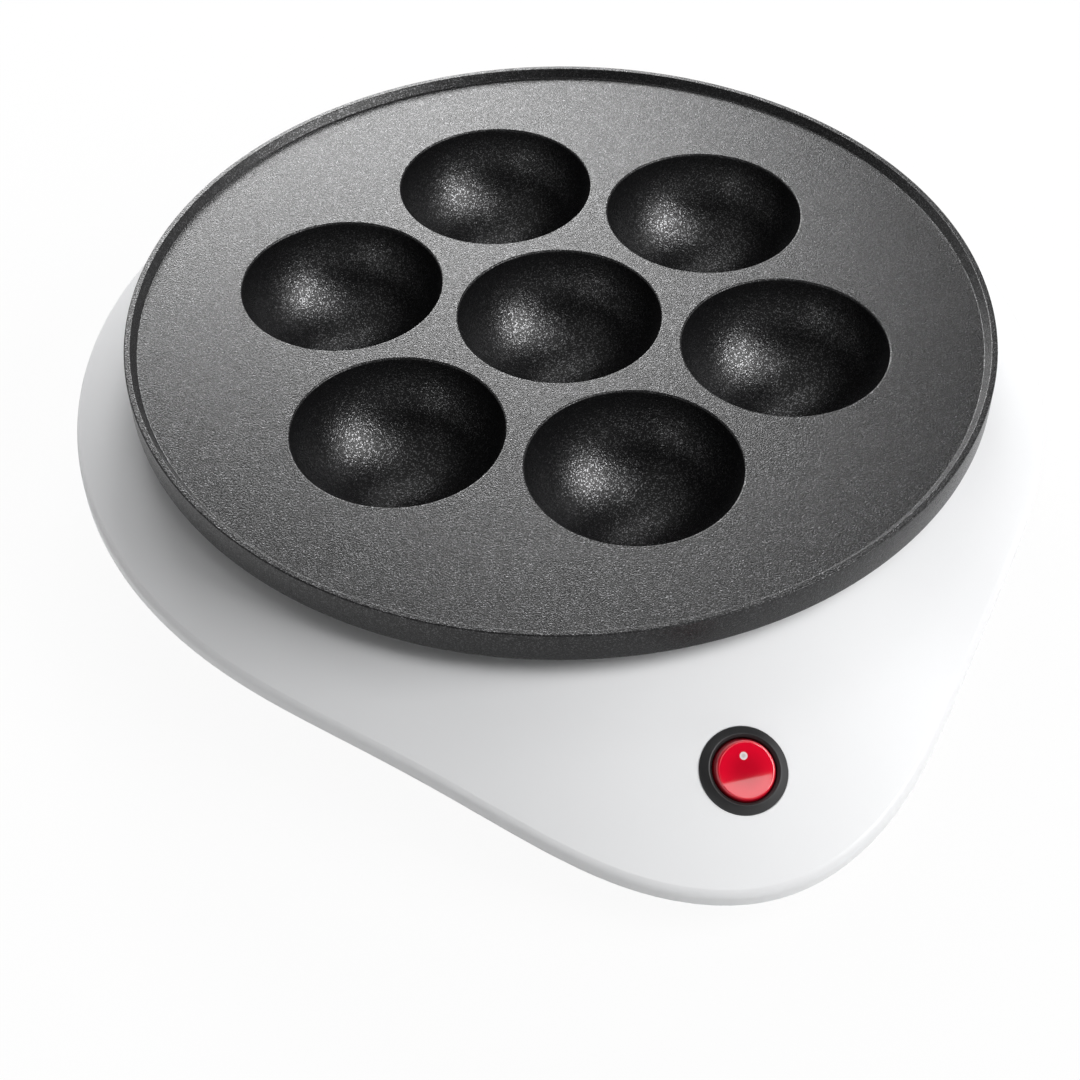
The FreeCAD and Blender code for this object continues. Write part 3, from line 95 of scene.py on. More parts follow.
class PlateSizes(bpy.types.PropertyGroup):
    radius: length("Radius", "Outside radius of the plate", (PLATE_HIGH.x - PLATE_LOW.x) / 2 / MM)
    thickness: length("Thickness", "Thickness of the plate's floor", 3.0)
    rim_height: length("Rim height", "Rise of the rim above the floor", 2.5)
    rim_land: length("Rim land", "Width of the rim's flat top", 1.8)
    rim_slant: length("Rim slant", "Width of the slope up to the rim", 1.6)
    rounding: length("Rounding", "Radius of the rim's edges", 0.4)
    edge_drop: length("Edge drop", "Depth of the edge wall", 7.0)
    edge_wall: length("Edge wall", "Thickness of the edge wall", 3.0)
    cups: IntProperty(name="Cups", description="Number of cups round the middle one", default=6)
    pitch: length("Cup pitch", "Distance between neighbouring cups", 66.8)
    mouth: length("Cup mouth", "Radius of a cup at the floor", 30.0)
    depth: length("Cup depth", "Depth of a cup", 28.0)
    wall: length("Cup wall", "Thickness of a cup's wall", 3.0)
    lip: length("Cup lip", "Rounding of a cup's mouth", 0.6)
    rib_depth: length("Rib depth", "Depth of the heater's ring rib", 17.0)
    rib_width: length("Rib width", "Half the width of that rib", 5.2)
    heater: length("Heater groove", "Radius of the groove for the heater", 3.45)
    post_circle: length("Post circle", "Radius of the circle of posts", 88.0)
    post: length("Post", "Radius of the bolts' posts", 6.0)
    post_depth: length("Post depth", "Length of those posts", 10.0)
    bore: length("Bore", "Radius of the bolt holes", 2.05)
    pad: length("Sensor pad", "Radius of the sensors' pads", 8.6)
    pad_depth: length("Pad depth", "Height of those pads", 3.0)


class SwitchSizes(bpy.types.PropertyGroup):
    slope: angle("Roof slope", "Slope of the roof under the switch", 25.5)
    tilt: angle("Rest tilt", "Tilt that raises the rocker's plate side at rest", 7.0)
    pivot: length("Pivot depth", "Depth of the pivot under the roof", 1.5)
    sink: length("Sink", "Depth of the bezel in the roof", 0.45)
    bezel: length("Bezel", "Radius of the bezel", 11.5)
    bezel_height: length("Bezel height", "Height of the bezel", 2.0)
    bezel_edge: length("Bezel edge", "Height of the bezel's upright edge", 0.7)
    crest: length("Crest", "Radius of the bezel's highest ring", 9.3)
    mouth: length("Mouth", "Radius of the rocker's opening", 8.5)
    lip_drop: length("Lip drop", "Fall from the crest to the mouth", 0.6)
    case: length("Case", "Radius of the case below the roof", 9.95)
    case_depth: length("Case depth", "Depth of the case", 15.0)
    cavity: length("Cavity", "Radius of the room inside the case", 9.0)
    floor: length("Case floor", "Thickness of the case's floor", 1.4)
    latch_reach: length("Latch reach", "Reach of the latches out of the case", 0.7)
    rocker: length("Rocker", "Radius of the rocker's ball-shaped side", 8.45)
    face: length("Face height", "Height of the face above the roof", 3.0)
    dish: length("Dish", "Hollow of the rocker's face", 0.45)
    rounding: length("Face rounding", "Radius of the face's edge", 0.3)
    skirt: length("Skirt depth", "Depth of the skirt below the roof", 6.0)
    shell: length("Shell", "Thickness of the rocker's shell", 1.3)
    hub: length("Hub", "Radius of the plunger's hub", 2.5)
    hub_bore: length("Hub bore", "Radius of the hub's bore", 1.45)
    trunnion: length("Trunnion", "Radius of the rocker's pins", 1.2)
    trunnion_reach: length("Trunnion reach", "Reach of those pins from the middle", 9.7)
    dot: length("Dot", "Radius of the printed dot", 1.05)


class SmallPartSizes(bpy.types.PropertyGroup):
    foot: length("Foot", "Radius of a foot", (FOOT_HIGH.x - FOOT_LOW.x) / 2 / MM)
    foot_circle: length("Foot circle", "Radius of the circle of feet", 90.0)
    foot_height: length("Foot height", "Height of a foot", 5.0)
    foot_neck: length("Foot neck", "Radius of the neck through the cover", 3.0)
    foot_head: length("Foot head", "Radius of the head inside the cover", 4.2)
    screw_circle: length("Screw circle", "Radius of the circle of housing screws", 109.0)
    screw: length("Screw", "Radius of a housing screw", 1.75)
    screw_head: length("Screw head", "Radius of its head", 3.2)
    screw_head_height: length("Screw head height", "Height of its head", 2.2)
    bolt_circle: length("Bolt circle", "Radius of the circle of plate bolts", 88.0)
    bolt: length("Bolt", "Radius of a plate bolt", 2.0)
    bolt_head: length("Bolt head", "Radius of its head", 3.5)
    bolt_head_height: length("Bolt head height", "Height of its head", 2.6)
    drive: length("Drive slot", "Width of the slot in the heads", 0.9)
    gland: length("Gland", "Radius of the gland's flanges", (GLAND_HIGH.x - GLAND_LOW.x) / 2 / MM)
    gland_neck: length("Gland neck", "Radius of the gland between its flanges", 5.5)
    gland_flange: length("Gland flange", "Thickness of a flange", 2.5)
    cord_hole: length("Cord hole", "Radius of the hole for the cord", 3.6)


class FinishColours(bpy.types.PropertyGroup):
    coating: colour("Coating", "Body colour of the non-stick coating", (0.007, 0.007, 0.0075))
    coating_fleck: colour("Coating fleck", "Colour of its bright flecks", (0.09, 0.09, 0.092))
    housing: colour("Housing", "White moulded plastic", (0.83, 0.835, 0.845))
    bezel: colour("Bezel", "Black moulded plastic", (0.016, 0.016, 0.017))
    rocker: colour("Rocker", "Glossy red plastic", (0.80, 0.003, 0.026))
    rocker_dot: colour("Rocker dot", "Printed dot on the rocker", (0.80, 0.72, 0.72))
    rubber: colour("Rubber", "Black rubber of feet and gland", (0.022, 0.022, 0.022))
    steel: colour("Plated steel", "Zinc-plated steel", (0.62, 0.62, 0.61))
    reflector: colour("Reflector", "Aluminised steel sheet", (0.66, 0.66, 0.65))
    sheath: colour("Sheath", "Heat-dulled steel sheath", (0.24, 0.22, 0.21))
    brass: colour("Brass", "Stamped brass", (0.72, 0.53, 0.25))
    aluminium: colour("Aluminium", "Drawn aluminium cap", (0.72, 0.72, 0.73))
    ceramic: colour("Ceramic", "Unglazed white ceramic", (0.80, 0.77, 0.70))
    silicone: colour("Silicone", "Grey silicone", (0.22, 0.22, 0.23))
    sleeve: colour("Sleeve", "Woven glass-fibre sleeve", (0.76, 0.73, 0.66))
    glass: colour("Lamp glass", "Clear glass of the small lamp", (0.95, 0.88, 0.84))
    lead_brown: colour("Brown lead", "Insulation of the live leads", (0.17, 0.07, 0.03))
    lead_blue: colour("Blue lead", "Insulation of the neutral leads", (0.03, 0.10, 0.36))
    lead_green: colour("Green lead", "Insulation of the earth lead", (0.10, 0.33, 0.05))


class StudioSettings(bpy.types.PropertyGroup):
    azimuth: angle("Azimuth", "Turn of the camera from the nose to the left", 16.755)
    elevation: angle("Elevation", "Height of the camera above the horizon", 46.586)
    roll: angle("Roll", "Turn about the line of sight", -0.798)
    distance: length("Distance", "From the camera to its aim", 510.3)
    aim: FloatVectorProperty(
        name="Aim", description="Point that the camera looks at",
        default=(-0.0328, -0.06835, 0.060), subtype="XYZ_LENGTH", precision=4)
    lens: number("Lens", "Focal length of the camera in millimetres", 64.83)
    key: power("Key light", "Wide soft light in front on the right", 11.9)
    back: power("Back light", "Soft light behind, which the plate mirrors", 6.0)
    back_right: power("Back right light", "Soft light behind on the right", 4.0)
    back_low: power("Low back light", "Soft light low behind", 2.6)
    rim: power("Rim light", "Weak light high behind on the right", 1.1)
    right: power("Right light", "Weak light on the right", 0.85)
    overhead: power("Overhead light", "Weak light high behind", 1.2)
    top: power("Top light", "Weak light above the nose", 2.6)
    fill: power("Fill light", "Weak wide light high on the left", 2.1)
    low: power("Low light", "Faint light low on the left", 0.8)
    ambient: number("Ambient", "Strength of the light from all round", 0.01)
    floor_size: length("Floor radius", "Radius of the pale floor", 3000.0)
    wall_height: length("Wall height", "Height of the floor's wall", 1100.0)


# --- Node trees written as expressions ---


def both_ways(operation):
    """Methods for an operator with the value on its left, and with the value on its right."""
    return (lambda self, other: self.math(operation, self, other),
            lambda self, other: self.math(operation, other, self))


class Value:
    """A socket that can be used in expressions, which add Math nodes to its tree."""

    __add__, __radd__ = both_ways("ADD")
    __sub__, __rsub__ = both_ways("SUBTRACT")
    __mul__, __rmul__ = both_ways("MULTIPLY")
    __truediv__, __rtruediv__ = both_ways("DIVIDE")
    __pow__, __rpow__ = both_ways("POWER")

    def __init__(self, tree, socket):
        self.tree = tree
        self.socket = socket

    def math(self, operation, *values):
        return self.tree.node("ShaderNodeMath", dict(enumerate(values)), operation=operation)

    def __neg__(self):
        return 0.0 - self

    def cos(self):
        return self.math("COSINE", self)

    def sin(self):
        return self.math("SINE", self)

    def acos(self):
        return self.math("ARCCOSINE", self)

    def above(self, limit):
        """1 where the value is above the limit, and 0 elsewhere."""
        return self.math("GREATER_THAN", self, limit)

    def min(self, other):
        return self.math("MINIMUM", self, other)

    def max(self, other):
        return self.math("MAXIMUM", self, other)

    def step(self, low, high):
        """0 below low, 1 above high and a smooth change between them."""
        return self.tree.node(
            "ShaderNodeMapRange",
            {"Value": self, "From Min": low, "From Max": high}, interpolation_type="SMOOTHSTEP")


def first_node(tree, kind):
    return next(node for node in tree.nodes if node.type == kind)


def add_object(name, data):
    thing = bpy.data.objects.new(name, data)
    bpy.context.scene.collection.objects.link(thing)
    return thing


class Tree:
    """A node tree to which nodes are added by type, settings and socket values."""

    def __init__(self, tree):
        self.tree = tree

    def node(self, kind, values=None, output=None, **settings):
        """Adds a node and returns one of its outputs, the first one unless output names it."""
        node = self.tree.nodes.new(kind)
        for key, setting in settings.items():
            if key == "choices":
                for _ in range(setting - len(node.index_switch_items)):
                    node.index_switch_items.new()
            else:
                setattr(node, key, setting)
        for key, value in (values or {}).items():
            for single in value if isinstance(value, list) else [value]:
                self.feed(self.find(node.inputs, key), single)
        return Value(self, self.find(node.outputs, output or 0))

    def find(self, sockets, key):
        usable = [s for s in sockets if s.enabled]
        if isinstance(key, int):
            return usable[key]
        return next(s for s in usable if s.name == key)

    def feed(self, socket, value):
        if isinstance(value, Value):
            self.tree.links.new(value.socket, socket)
        elif socket.type == "RGBA" and len(value) == 3:
            socket.default_value = (*value, 1.0)
        else:
            socket.default_value = value

    def vector(self, x, y, z):
        return self.node("ShaderNodeCombineXYZ", {0: x, 1: y, 2: z})


# --- Shapes made by Geometry Nodes ---

SPINE = 0.01
SHARP = radians(28)
LEVEL_FACE = 0.99999
WELD = 0.001 * MM
CORNER_STEPS = 5


def padded(corners):
    """Corners of radius, height and rounding, with no rounding where none is given."""
    return [(*corner, 0.0)[:3] for corner in corners]


class Shape(Tree):
    """A Geometry Nodes tree with named inputs that makes one piece."""

    def __init__(self, name, group, keys):
        super().__init__(bpy.data.node_groups.new(name, "GeometryNodeTree"))
        self.name = name
        self.settings = {}
        face = self.tree.interface
        face.new_socket("Geometry", in_out="OUTPUT", socket_type="NodeSocketGeometry")
        for key in keys:
            size = getattr(group, key)
            kind = "NodeSocketInt" if isinstance(size, int) else "NodeSocketFloat"
            socket = face.new_socket(key, in_out="INPUT", socket_type=kind)
            self.settings[socket.identifier] = size
        source = self.tree.nodes.new("NodeGroupInput")
        self.size = SimpleNamespace(
            **{key: Value(self, self.find(source.outputs, key)) for key in keys})
        self.index = self.node("GeometryNodeInputIndex")

    def joined(self, *parts):
        return self.node("GeometryNodeJoinGeometry", {0: list(parts)})

    def united(self, *parts):
        """Union of closed parts."""
        return self.boolean("UNION", {0: list(parts)})

    def carved(self, part, *cuts):
        return self.boolean("DIFFERENCE", {0: part, 1: list(cuts)})

    def boolean(self, operation, parts):
        return self.node("GeometryNodeMeshBoolean", parts, operation=operation, solver="MANIFOLD")

    def choice(self, values):
        """The value whose place in the list is the point's index."""
        inputs = {str(i): value for i, value in enumerate(values)}
        inputs["Index"] = self.index
        return self.node("GeometryNodeIndexSwitch", inputs, data_type="FLOAT", choices=len(values))

    def every_third(self):
        """1 on every third point, and 0 on the others."""
        return 1 - self.index.math("MODULO", self.index, 3).above(0.5)

    def line(self, count, radius, height):
        """Profile curve whose points have a radius and a height worked out from their index."""
        points = self.node("GeometryNodeMeshLine", {"Count": count})
        place = self.vector(radius - SPINE, -height, 0.0)
        moved = self.node("GeometryNodeSetPosition", {"Geometry": points, "Position": place})
        return self.node("GeometryNodeMeshToCurve", {"Mesh": moved})

    def profile(self, corners, closed=False):
        """Profile curve through corners, from the axis upwards."""
        radii, heights, roundings = zip(*padded(corners))
        curve = self.line(len(corners), self.choice(radii), self.choice(heights))
        if closed:
            curve = self.node("GeometryNodeSetSplineCyclic", {"Geometry": curve, "Cyclic": True})
        return self.node(
            "GeometryNodeFilletCurve",
            {"Curve": curve, "Radius": self.choice(roundings), "Count": CORNER_STEPS}, mode="POLY")

    def circle(self, steps, radius):
        return self.node(
            "GeometryNodeCurvePrimitiveCircle", {"Resolution": steps, "Radius": radius})

    def turned(self, profile, steps):
        """Solid made by turning a profile about Z."""
        ring = self.node(
            "GeometryNodeSetCurveNormal", {"Curve": self.circle(steps, SPINE)}, mode="Z_UP")
        swept = self.node("GeometryNodeCurveToMesh", {"Curve": ring, "Profile Curve": profile})
        closed = self.node("GeometryNodeMergeByDistance", {"Geometry": swept, "Distance": WELD})
        return self.node("GeometryNodeFlipFaces", {"Mesh": closed})

    def moved(self, part, place, turn=(0.0, 0.0, 0.0)):
        return self.node(
            "GeometryNodeTransform", {"Geometry": part, "Translation": place, "Rotation": turn})

    def ring(self, count, radius, turn):
        """Points evenly spaced on a circle, the first one turned from +X."""
        points = self.node("GeometryNodeMeshCircle", {"Vertices": count, "Radius": radius})
        return self.moved(points, (0.0, 0.0, 0.0), (0.0, 0.0, turn))

    def repeated(self, part, points, chosen=True):
        placed = self.node(
            "GeometryNodeInstanceOnPoints",
            {"Points": points, "Instance": part, "Selection": chosen})
        return self.node("GeometryNodeRealizeInstances", {"Geometry": placed})

    def shaded(self, part):
        """Smooth shading that keeps sharp edges sharp and level faces level."""
        bend = self.node("GeometryNodeInputMeshEdgeAngle").above(SHARP)
        normal = self.node("GeometryNodeInputNormal")
        upright = self.node("ShaderNodeSeparateXYZ", {0: normal}, output="Z")
        level = upright.math("ABSOLUTE", upright).above(LEVEL_FACE)
        for domain, values in (
                ("FACE", {}), ("EDGE", {"Selection": bend, "Shade Smooth": False}),
                ("FACE", {"Selection": level, "Shade Smooth": False})):
            part = self.node(
                "GeometryNodeSetShadeSmooth", {"Geometry": part, **values}, domain=domain)
        return part

    def piece(self, part, finish):
        """Runs the tree and returns its result as an object with a plain mesh."""
        part = self.node("GeometryNodeRealizeInstances", {"Geometry": part})
        part = self.node("GeometryNodeSetMaterial", {"Geometry": part, "Material": finish})
        end = self.tree.nodes.new("NodeGroupOutput")
        self.feed(end.inputs[0], part)
        piece = add_object(self.name, bpy.data.meshes.new(self.name))
        modifier = piece.modifiers.new("shape", "NODES")
        modifier.node_group = self.tree
        for socket, size in self.settings.items():
            modifier[socket] = size
        graph = bpy.context.evaluated_depsgraph_get()
        mesh = bpy.data.meshes.new_from_object(piece.evaluated_get(graph))
        mesh.materials.pop(index=0)
        piece.modifiers.remove(modifier)
        piece.data = mesh
        if not mesh.polygons:
            raise RuntimeError("the tree of " + self.name + " made no faces")
        return piece


# --- Cooking plate ---

BALL_ROWS = 36
LIP_ROWS = 8
LIP_END = radians(4)
CUP_STEPS = 128
EDGE_STEPS = 240
POST_STEPS = 48
GROOVE_STEPS = 192
HEATER_STEPS = 24
POST_PLACES = 6


def bowl(shape, ball, centre, lip, level, top, steps):
    """Ball-shaped solid that opens at a level with a rounded lip and is closed by a lid above."""
    row = shape.index
    last = BALL_ROWS + LIP_ROWS + 0.5
    end = ((centre - level + lip) / (ball + lip)).acos()
    arc = end * (row / BALL_ROWS).min(1.0)
    bend = end + (LIP_END - end) * ((row - BALL_ROWS) / LIP_ROWS).max(0.0).min(1.0)
    flare = lip * row.above(last) * 2.0
    lid = row.above(last + 1)
    radius = ball * arc.sin() + lip * (end.sin() - bend.sin()) + flare * sin(LIP_END)
    height = centre - ball * arc.cos() + lip * (bend.cos() - end.cos())
    height = height + flare * (1 - cos(LIP_END))
    height = height + (top - height) * lid
    radius = radius * (1 - row.above(last + 2))
    return shape.turned(shape.line(BALL_ROWS + LIP_ROWS + 4, radius, height), steps)


def post(shape, radius, low, high):
    return shape.turned(
        shape.profile([(0.0, low), (radius, low), (radius, high), (0.0, high)]), POST_STEPS)


def plate_casting(shape):
    """Disc with a low raised rim and an edge wall that hangs down all round."""
    size = shape.size
    inner = size.radius - size.edge_wall
    land = size.radius - size.rim_land
    return shape.turned(shape.profile([
        (0.0, -size.thickness),
        (inner, -size.thickness),
        (inner, -size.edge_drop, size.rounding),
        (size.radius, -size.edge_drop, size.rounding),
        (size.radius, size.rim_height, size.rounding),
        (land, size.rim_height, size.rounding),
        (land - size.rim_slant, 0.0, size.rounding),
        (0.0, 0.0)]), EDGE_STEPS)


def cooking_plate(shape):
    """Cast plate, with its floor at height 0: casting, cups, ring rib, posts and sensor pads."""
    size = shape.size
    ball = (size.mouth * size.mouth + size.depth * size.depth) / (size.depth * 2.0)
    centre = ball - size.depth
    inside = -size.thickness / 2.0
    middle = shape.node("GeometryNodeMeshLine", {"Count": 1})
    places = shape.joined(middle, shape.ring(size.cups, size.pitch, radians(-90)))
    shell = bowl(shape, ball + size.wall, centre, 0.0, inside, inside, CUP_STEPS // 2)
    hollow = bowl(shape, ball, centre, size.lip, 0.0, size.rim_height * 2.0, CUP_STEPS)
    heater_ring = size.pitch / 2.0
    near, far = heater_ring - size.rib_width, heater_ring + size.rib_width
    low = -size.rib_depth
    rib = shape.turned(shape.profile(
        [(near, low), (far, low), (far, inside), (near, inside)], closed=True), EDGE_STEPS)
    groove = shape.node(
        "GeometryNodeCurveToMesh",
        {"Curve": shape.circle(GROOVE_STEPS, heater_ring),
         "Profile Curve": shape.circle(HEATER_STEPS, size.heater)})
    under = shape.ring(size.cups, size.post_circle, 0.0)
    pad_here = shape.every_third()
    post_here = 1 - pad_here
    foot = -size.thickness - size.post_depth
    posts = shape.repeated(post(shape, size.post, foot, inside), under, post_here)
    bore = post(shape, size.bore, foot - size.lip, -size.thickness * 2.0)
    pad = post(shape, size.pad, -size.thickness - size.pad_depth, inside)
    solid = shape.united(
        plate_casting(shape), shape.repeated(shell, places), rib, posts,
        shape.repeated(pad, under, pad_here))
    return shape.shaded(shape.carved(
        solid, shape.repeated(hollow, places), shape.moved(groove, shape.vector(0.0, 0.0, low)),
        shape.repeated(bore, under, post_here)))


# --- Small repeated parts ---

SCREW_STEPS = 40
HEAD_EDGE = 0.45
SEAT_EDGE = 0.15
TIP_LENGTH = 0.5
TIP_WIDTH = 0.6
SLOT_LENGTH = 2.2
FOOT_STEPS = 72
FOOT_HEAD = 2 * MM
FOOT_HOLLOW = 0.6 * MM
FOOT_WEAR = 1.2 * MM
FOOT_EDGE = 0.3 * MM


def slotted_screw(shape, low, tip, radius, head, head_height, slot):
    """Screw that points up from its low end, which is a rounded head with a slot."""
    seat = low + head_height
    body = shape.turned(shape.profile([
        (0.0, low),
        (head, low, head_height * HEAD_EDGE),
        (head, seat, slot * SEAT_EDGE),
        (radius, seat),
        (radius, tip - radius * TIP_LENGTH),
        (radius * TIP_WIDTH, tip),
        (0.0, tip)]), SCREW_STEPS)
    cut = shape.node(
        "GeometryNodeMeshCube", {"Size": shape.vector(head * SLOT_LENGTH, slot, head_height)})
    return shape.carved(body, shape.moved(cut, (0.0, 0.0, low)))


def rubber_foot(shape, size):
    """Foot with a worn round edge and a hollow middle, and the neck and head that hold it."""
    top = size.foot_height
    head_top = FOOT_HIGH.z - FOOT_LOW.z
    neck_top = head_top - FOOT_HEAD
    return shape.turned(shape.profile([
        (0.0, FOOT_HOLLOW),
        (size.foot * 0.42, FOOT_HOLLOW, FOOT_EDGE),
        (size.foot * 0.52, 0.0, FOOT_EDGE),
        (size.foot, 0.0, FOOT_WEAR),
        (size.foot, top, FOOT_EDGE),
        (size.foot_neck, top),
        (size.foot_neck, neck_top),
        (size.foot_head, neck_top, FOOT_EDGE),
        (size.foot_head, head_top, 0.6 * MM),
        (0.0, head_top)]), FOOT_STEPS)


# --- Shapes turned in mesh code ---


def arc(centre, radius, start, end, steps):
    """Points of an arc in (radius, height), between two angles in radians."""
    turns = [start + (end - start) * i / steps for i in range(steps + 1)]
    return [(centre[0] + radius * cos(t), centre[1] + radius * sin(t)) for t in turns]


def rounded(corners):
    """Points through corners, each rounded by its own radius."""
    points = []
    corners = padded(corners)
    for i, (x, z, rounding) in enumerate(corners):
        if rounding == 0.0:
            points.append((x, z))
            continue
        here = Vector((x, z))
        before = (Vector(corners[i - 1][:2]) - here).normalized()
        after = (Vector(corners[i + 1][:2]) - here).normalized()
        half = before.angle(after) / 2
        centre = here + (before + after).normalized() * rounding / sin(half)
        start = here + before * rounding / tan(half) - centre
        end = here + after * rounding / tan(half) - centre
        low = atan2(start.y, start.x)
        sweep = (atan2(end.y, end.x) - low + pi) % (2 * pi) - pi
        points += arc(centre, rounding, low, low + sweep, CORNER_STEPS)
    return points


def turned(points, steps, place=Matrix.Identity(4)):
    """Corners and faces of a solid turned about Z from its lower to its upper pole."""
    corners, faces, rows = [], [], []
    for radius, height in points:
        count = steps if radius > 0.0 else 1
        rows.append([len(corners) + i % count for i in range(steps)])
        for i in range(count):
            turn = 2 * pi * i / steps
            corners.append(place @ Vector((radius * cos(turn), radius * sin(turn), height)))
    for low, high in zip(rows, rows[1:]):
        for i in range(steps):
            j = (i + 1) % steps
            face = [low[i], low[j], high[j], high[i]]
            faces.append(list(dict.fromkeys(face)))
    return corners, faces


def bar(size, place):
    """Corners and faces of a block of this size about a place."""
    half = [extent / 2 for extent in size]
    corners = [
        place @ Vector((x * half[0], y * half[1], z * half[2]))
        for z in (-1, 1) for x, y in ((-1, -1), (1, -1), (1, 1), (-1, 1))]
    sides = [[i, (i + 1) % 4, (i + 1) % 4 + 4, i + 4] for i in range(4)]
    return corners, [[3, 2, 1, 0], [4, 5, 6, 7]] + sides


def solid_piece(name, parts, finish):
    """Object whose mesh holds these closed parts, smooth with sharp edges kept."""
    corners, faces = [], []
    for part_corners, part_faces in parts:
        start = len(corners)
        corners += part_corners
        faces += [[start + i for i in face] for face in part_faces]
    mesh = bpy.data.meshes.new(name)
    mesh.from_pydata(corners, [], faces)
    mesh.set_sharp_from_angle(angle=SHARP)
    mesh.materials.append(finish)
    return add_object(name, mesh)


def switch_place(size, tilt=0.0):
    """Frame of the switch: X across, Y up the slope and Z out of the roof, tilted at its pivot."""
    pivot = Matrix.Translation(ROCKER_PIVOT)
    back = Matrix.Translation((0.0, 0.0, size.pivot))
    return pivot @ Matrix.Rotation(size.slope + tilt, 4, "X") @ back


SWITCH_STEPS = 144
PIN_STEPS = 32
FACE_ROWS = 14
FLANK_ROWS = 16
LATCH_DEPTH = 4.6 * MM
LATCH_WIDTH = 5 * MM
LATCH_HEIGHT = 3 * MM


def case_points(size):
    """Bezel and case in one, from the underside round the bezel into the case."""
    seat = -size.sink
    crest = seat + size.bezel_height
    floor = size.floor - size.case_depth
    return rounded([
        (0.0, -size.case_depth),
        (size.case, -size.case_depth, 0.5 * MM),
        (size.case, seat),
        (size.bezel, seat, 0.1 * MM),
        (size.bezel, seat + size.bezel_edge, 0.35 * MM),
        (size.crest, crest, 0.3 * MM),
        (size.mouth, crest - size.lip_drop, 0.12 * MM),
        (size.mouth, seat),
        (size.cavity, seat),
        (size.cavity, floor),
        (0.0, floor)])


def rocker_points(size):
    """Rocker before its face is dished, from inside its hub round the skirt to the face."""
    inner = size.rocker - size.shell
    roof = size.face - size.dish - size.shell
    skirt = -size.skirt
    low = skirt + size.pivot
    rise = size.face - size.rounding + size.pivot
    edge_radius = sqrt((size.rocker - size.rounding) ** 2 - rise ** 2)
    edge_turn = atan2(rise, edge_radius)
    pivot = (0.0, -size.pivot)
    points = [(0.0, roof - size.shell), (size.hub_bore, roof - size.shell),
              (size.hub_bore, skirt), (size.hub, skirt), (size.hub, roof)]
    points += arc(pivot, inner, asin((roof + size.pivot) / inner), asin(low / inner), FLANK_ROWS)
    points += arc(pivot, size.rocker, asin(low / size.rocker), edge_turn, FLANK_ROWS)
    edge = (edge_radius, size.face - size.rounding)
    points += arc(edge, size.rounding, edge_turn, pi / 2, CORNER_STEPS)[1:]
    points += [(edge_radius * (1 - i / FACE_ROWS), size.face) for i in range(1, FACE_ROWS)]
    return points + [(0.0, size.face)]


def dished(corners, size):
    """Corners with the face hollowed along the slope, as a finger presses either end."""
    hollowed = []
    for corner in corners:
        share = min(max((corner.z - size.face / 2) / (size.face / 2), 0.0), 1.0)
        drop = size.dish * (1 - (corner.y / size.rocker) ** 2) * share ** 2
        hollowed.append(corner - Vector((0.0, 0.0, drop)))
    return hollowed


# --- Finishes ---


class Finish(Tree):
    """A material whose patterns read the piece's own coordinates, in metres."""

    def __init__(self, name):
        self.material = bpy.data.materials.new(name)
        self.material.use_nodes = True
        super().__init__(self.material.node_tree)
        self.shader = first_node(self.tree, "BSDF_PRINCIPLED")
        self.place = self.node("ShaderNodeTexCoord", output="Object")

    def noise(self, size, detail=2.0, stretch=(1.0, 1.0, 1.0)):
        """Soft random pattern whose blotches are about size across."""
        place = self.node(
            "ShaderNodeVectorMath", {0: self.place, 1: stretch}, operation="MULTIPLY")
        return self.node(
            "ShaderNodeTexNoise", {"Vector": place, "Scale": 1.0 / size, "Detail": detail})

    def cells(self, size):
        """Random level that is the same all over each small cell."""
        cell = self.node(
            "ShaderNodeTexVoronoi",
            {"Vector": self.place, "Scale": 1.0 / size}, output="Color", feature="F1")
        return self.node("ShaderNodeSeparateColor", {0: cell})

    def blend(self, share, low, high):
        """Colour that goes from low to high with share."""
        return self.node("ShaderNodeMix", {"Factor": share, "A": low, "B": high}, data_type="RGBA")

    def toned(self, share, tint, low, high):
        """Tint that goes from low to high times its own brightness with share."""
        return self.blend(share, scaled(tint, low), scaled(tint, high))

    def about(self, middle, pattern, spread):
        """Level that a pattern moves up and down about its middle."""
        return middle + (pattern - 0.5) * spread

    def axes(self, point):
        """The X, Y and Z of a point."""
        return [self.node("ShaderNodeSeparateXYZ", {0: point}, output=axis) for axis in "XYZ"]

    def local(self, place):
        """The three coordinates of the point in the frame of a place on the object."""
        point = self.node(
            "ShaderNodeMapping",
            {"Vector": self.place, "Location": tuple(place.translation),
             "Rotation": tuple(place.to_euler())}, vector_type="TEXTURE")
        return self.axes(point)

    def set(self, **values):
        """Sets or links the shader's sockets, named with _ for a space."""
        for key, value in values.items():
            self.feed(self.find(self.shader.inputs, key.replace("_", " ")), value)

    def relief(self, height, distance):
        self.set(Normal=self.node(
            "ShaderNodeBump", {"Height": height, "Distance": distance, "Strength": 1.0}))


def scaled(tint, factor):
    return tuple(channel * factor for channel in tint)


PEBBLE = 0.42 * MM
PEBBLE_HEIGHT = 0.10 * MM
FLECK = 0.28 * MM
FLECK_LEVELS = (0.80, 0.86)
# Painted highlight: flecks down in the cups are painted this many times brighter.
CUP_PAINTED_HIGHLIGHT = 1.9
# Painted shade: flecks down the edge wall are painted this much darker.
EDGE_PAINTED_SHADE = 0.4


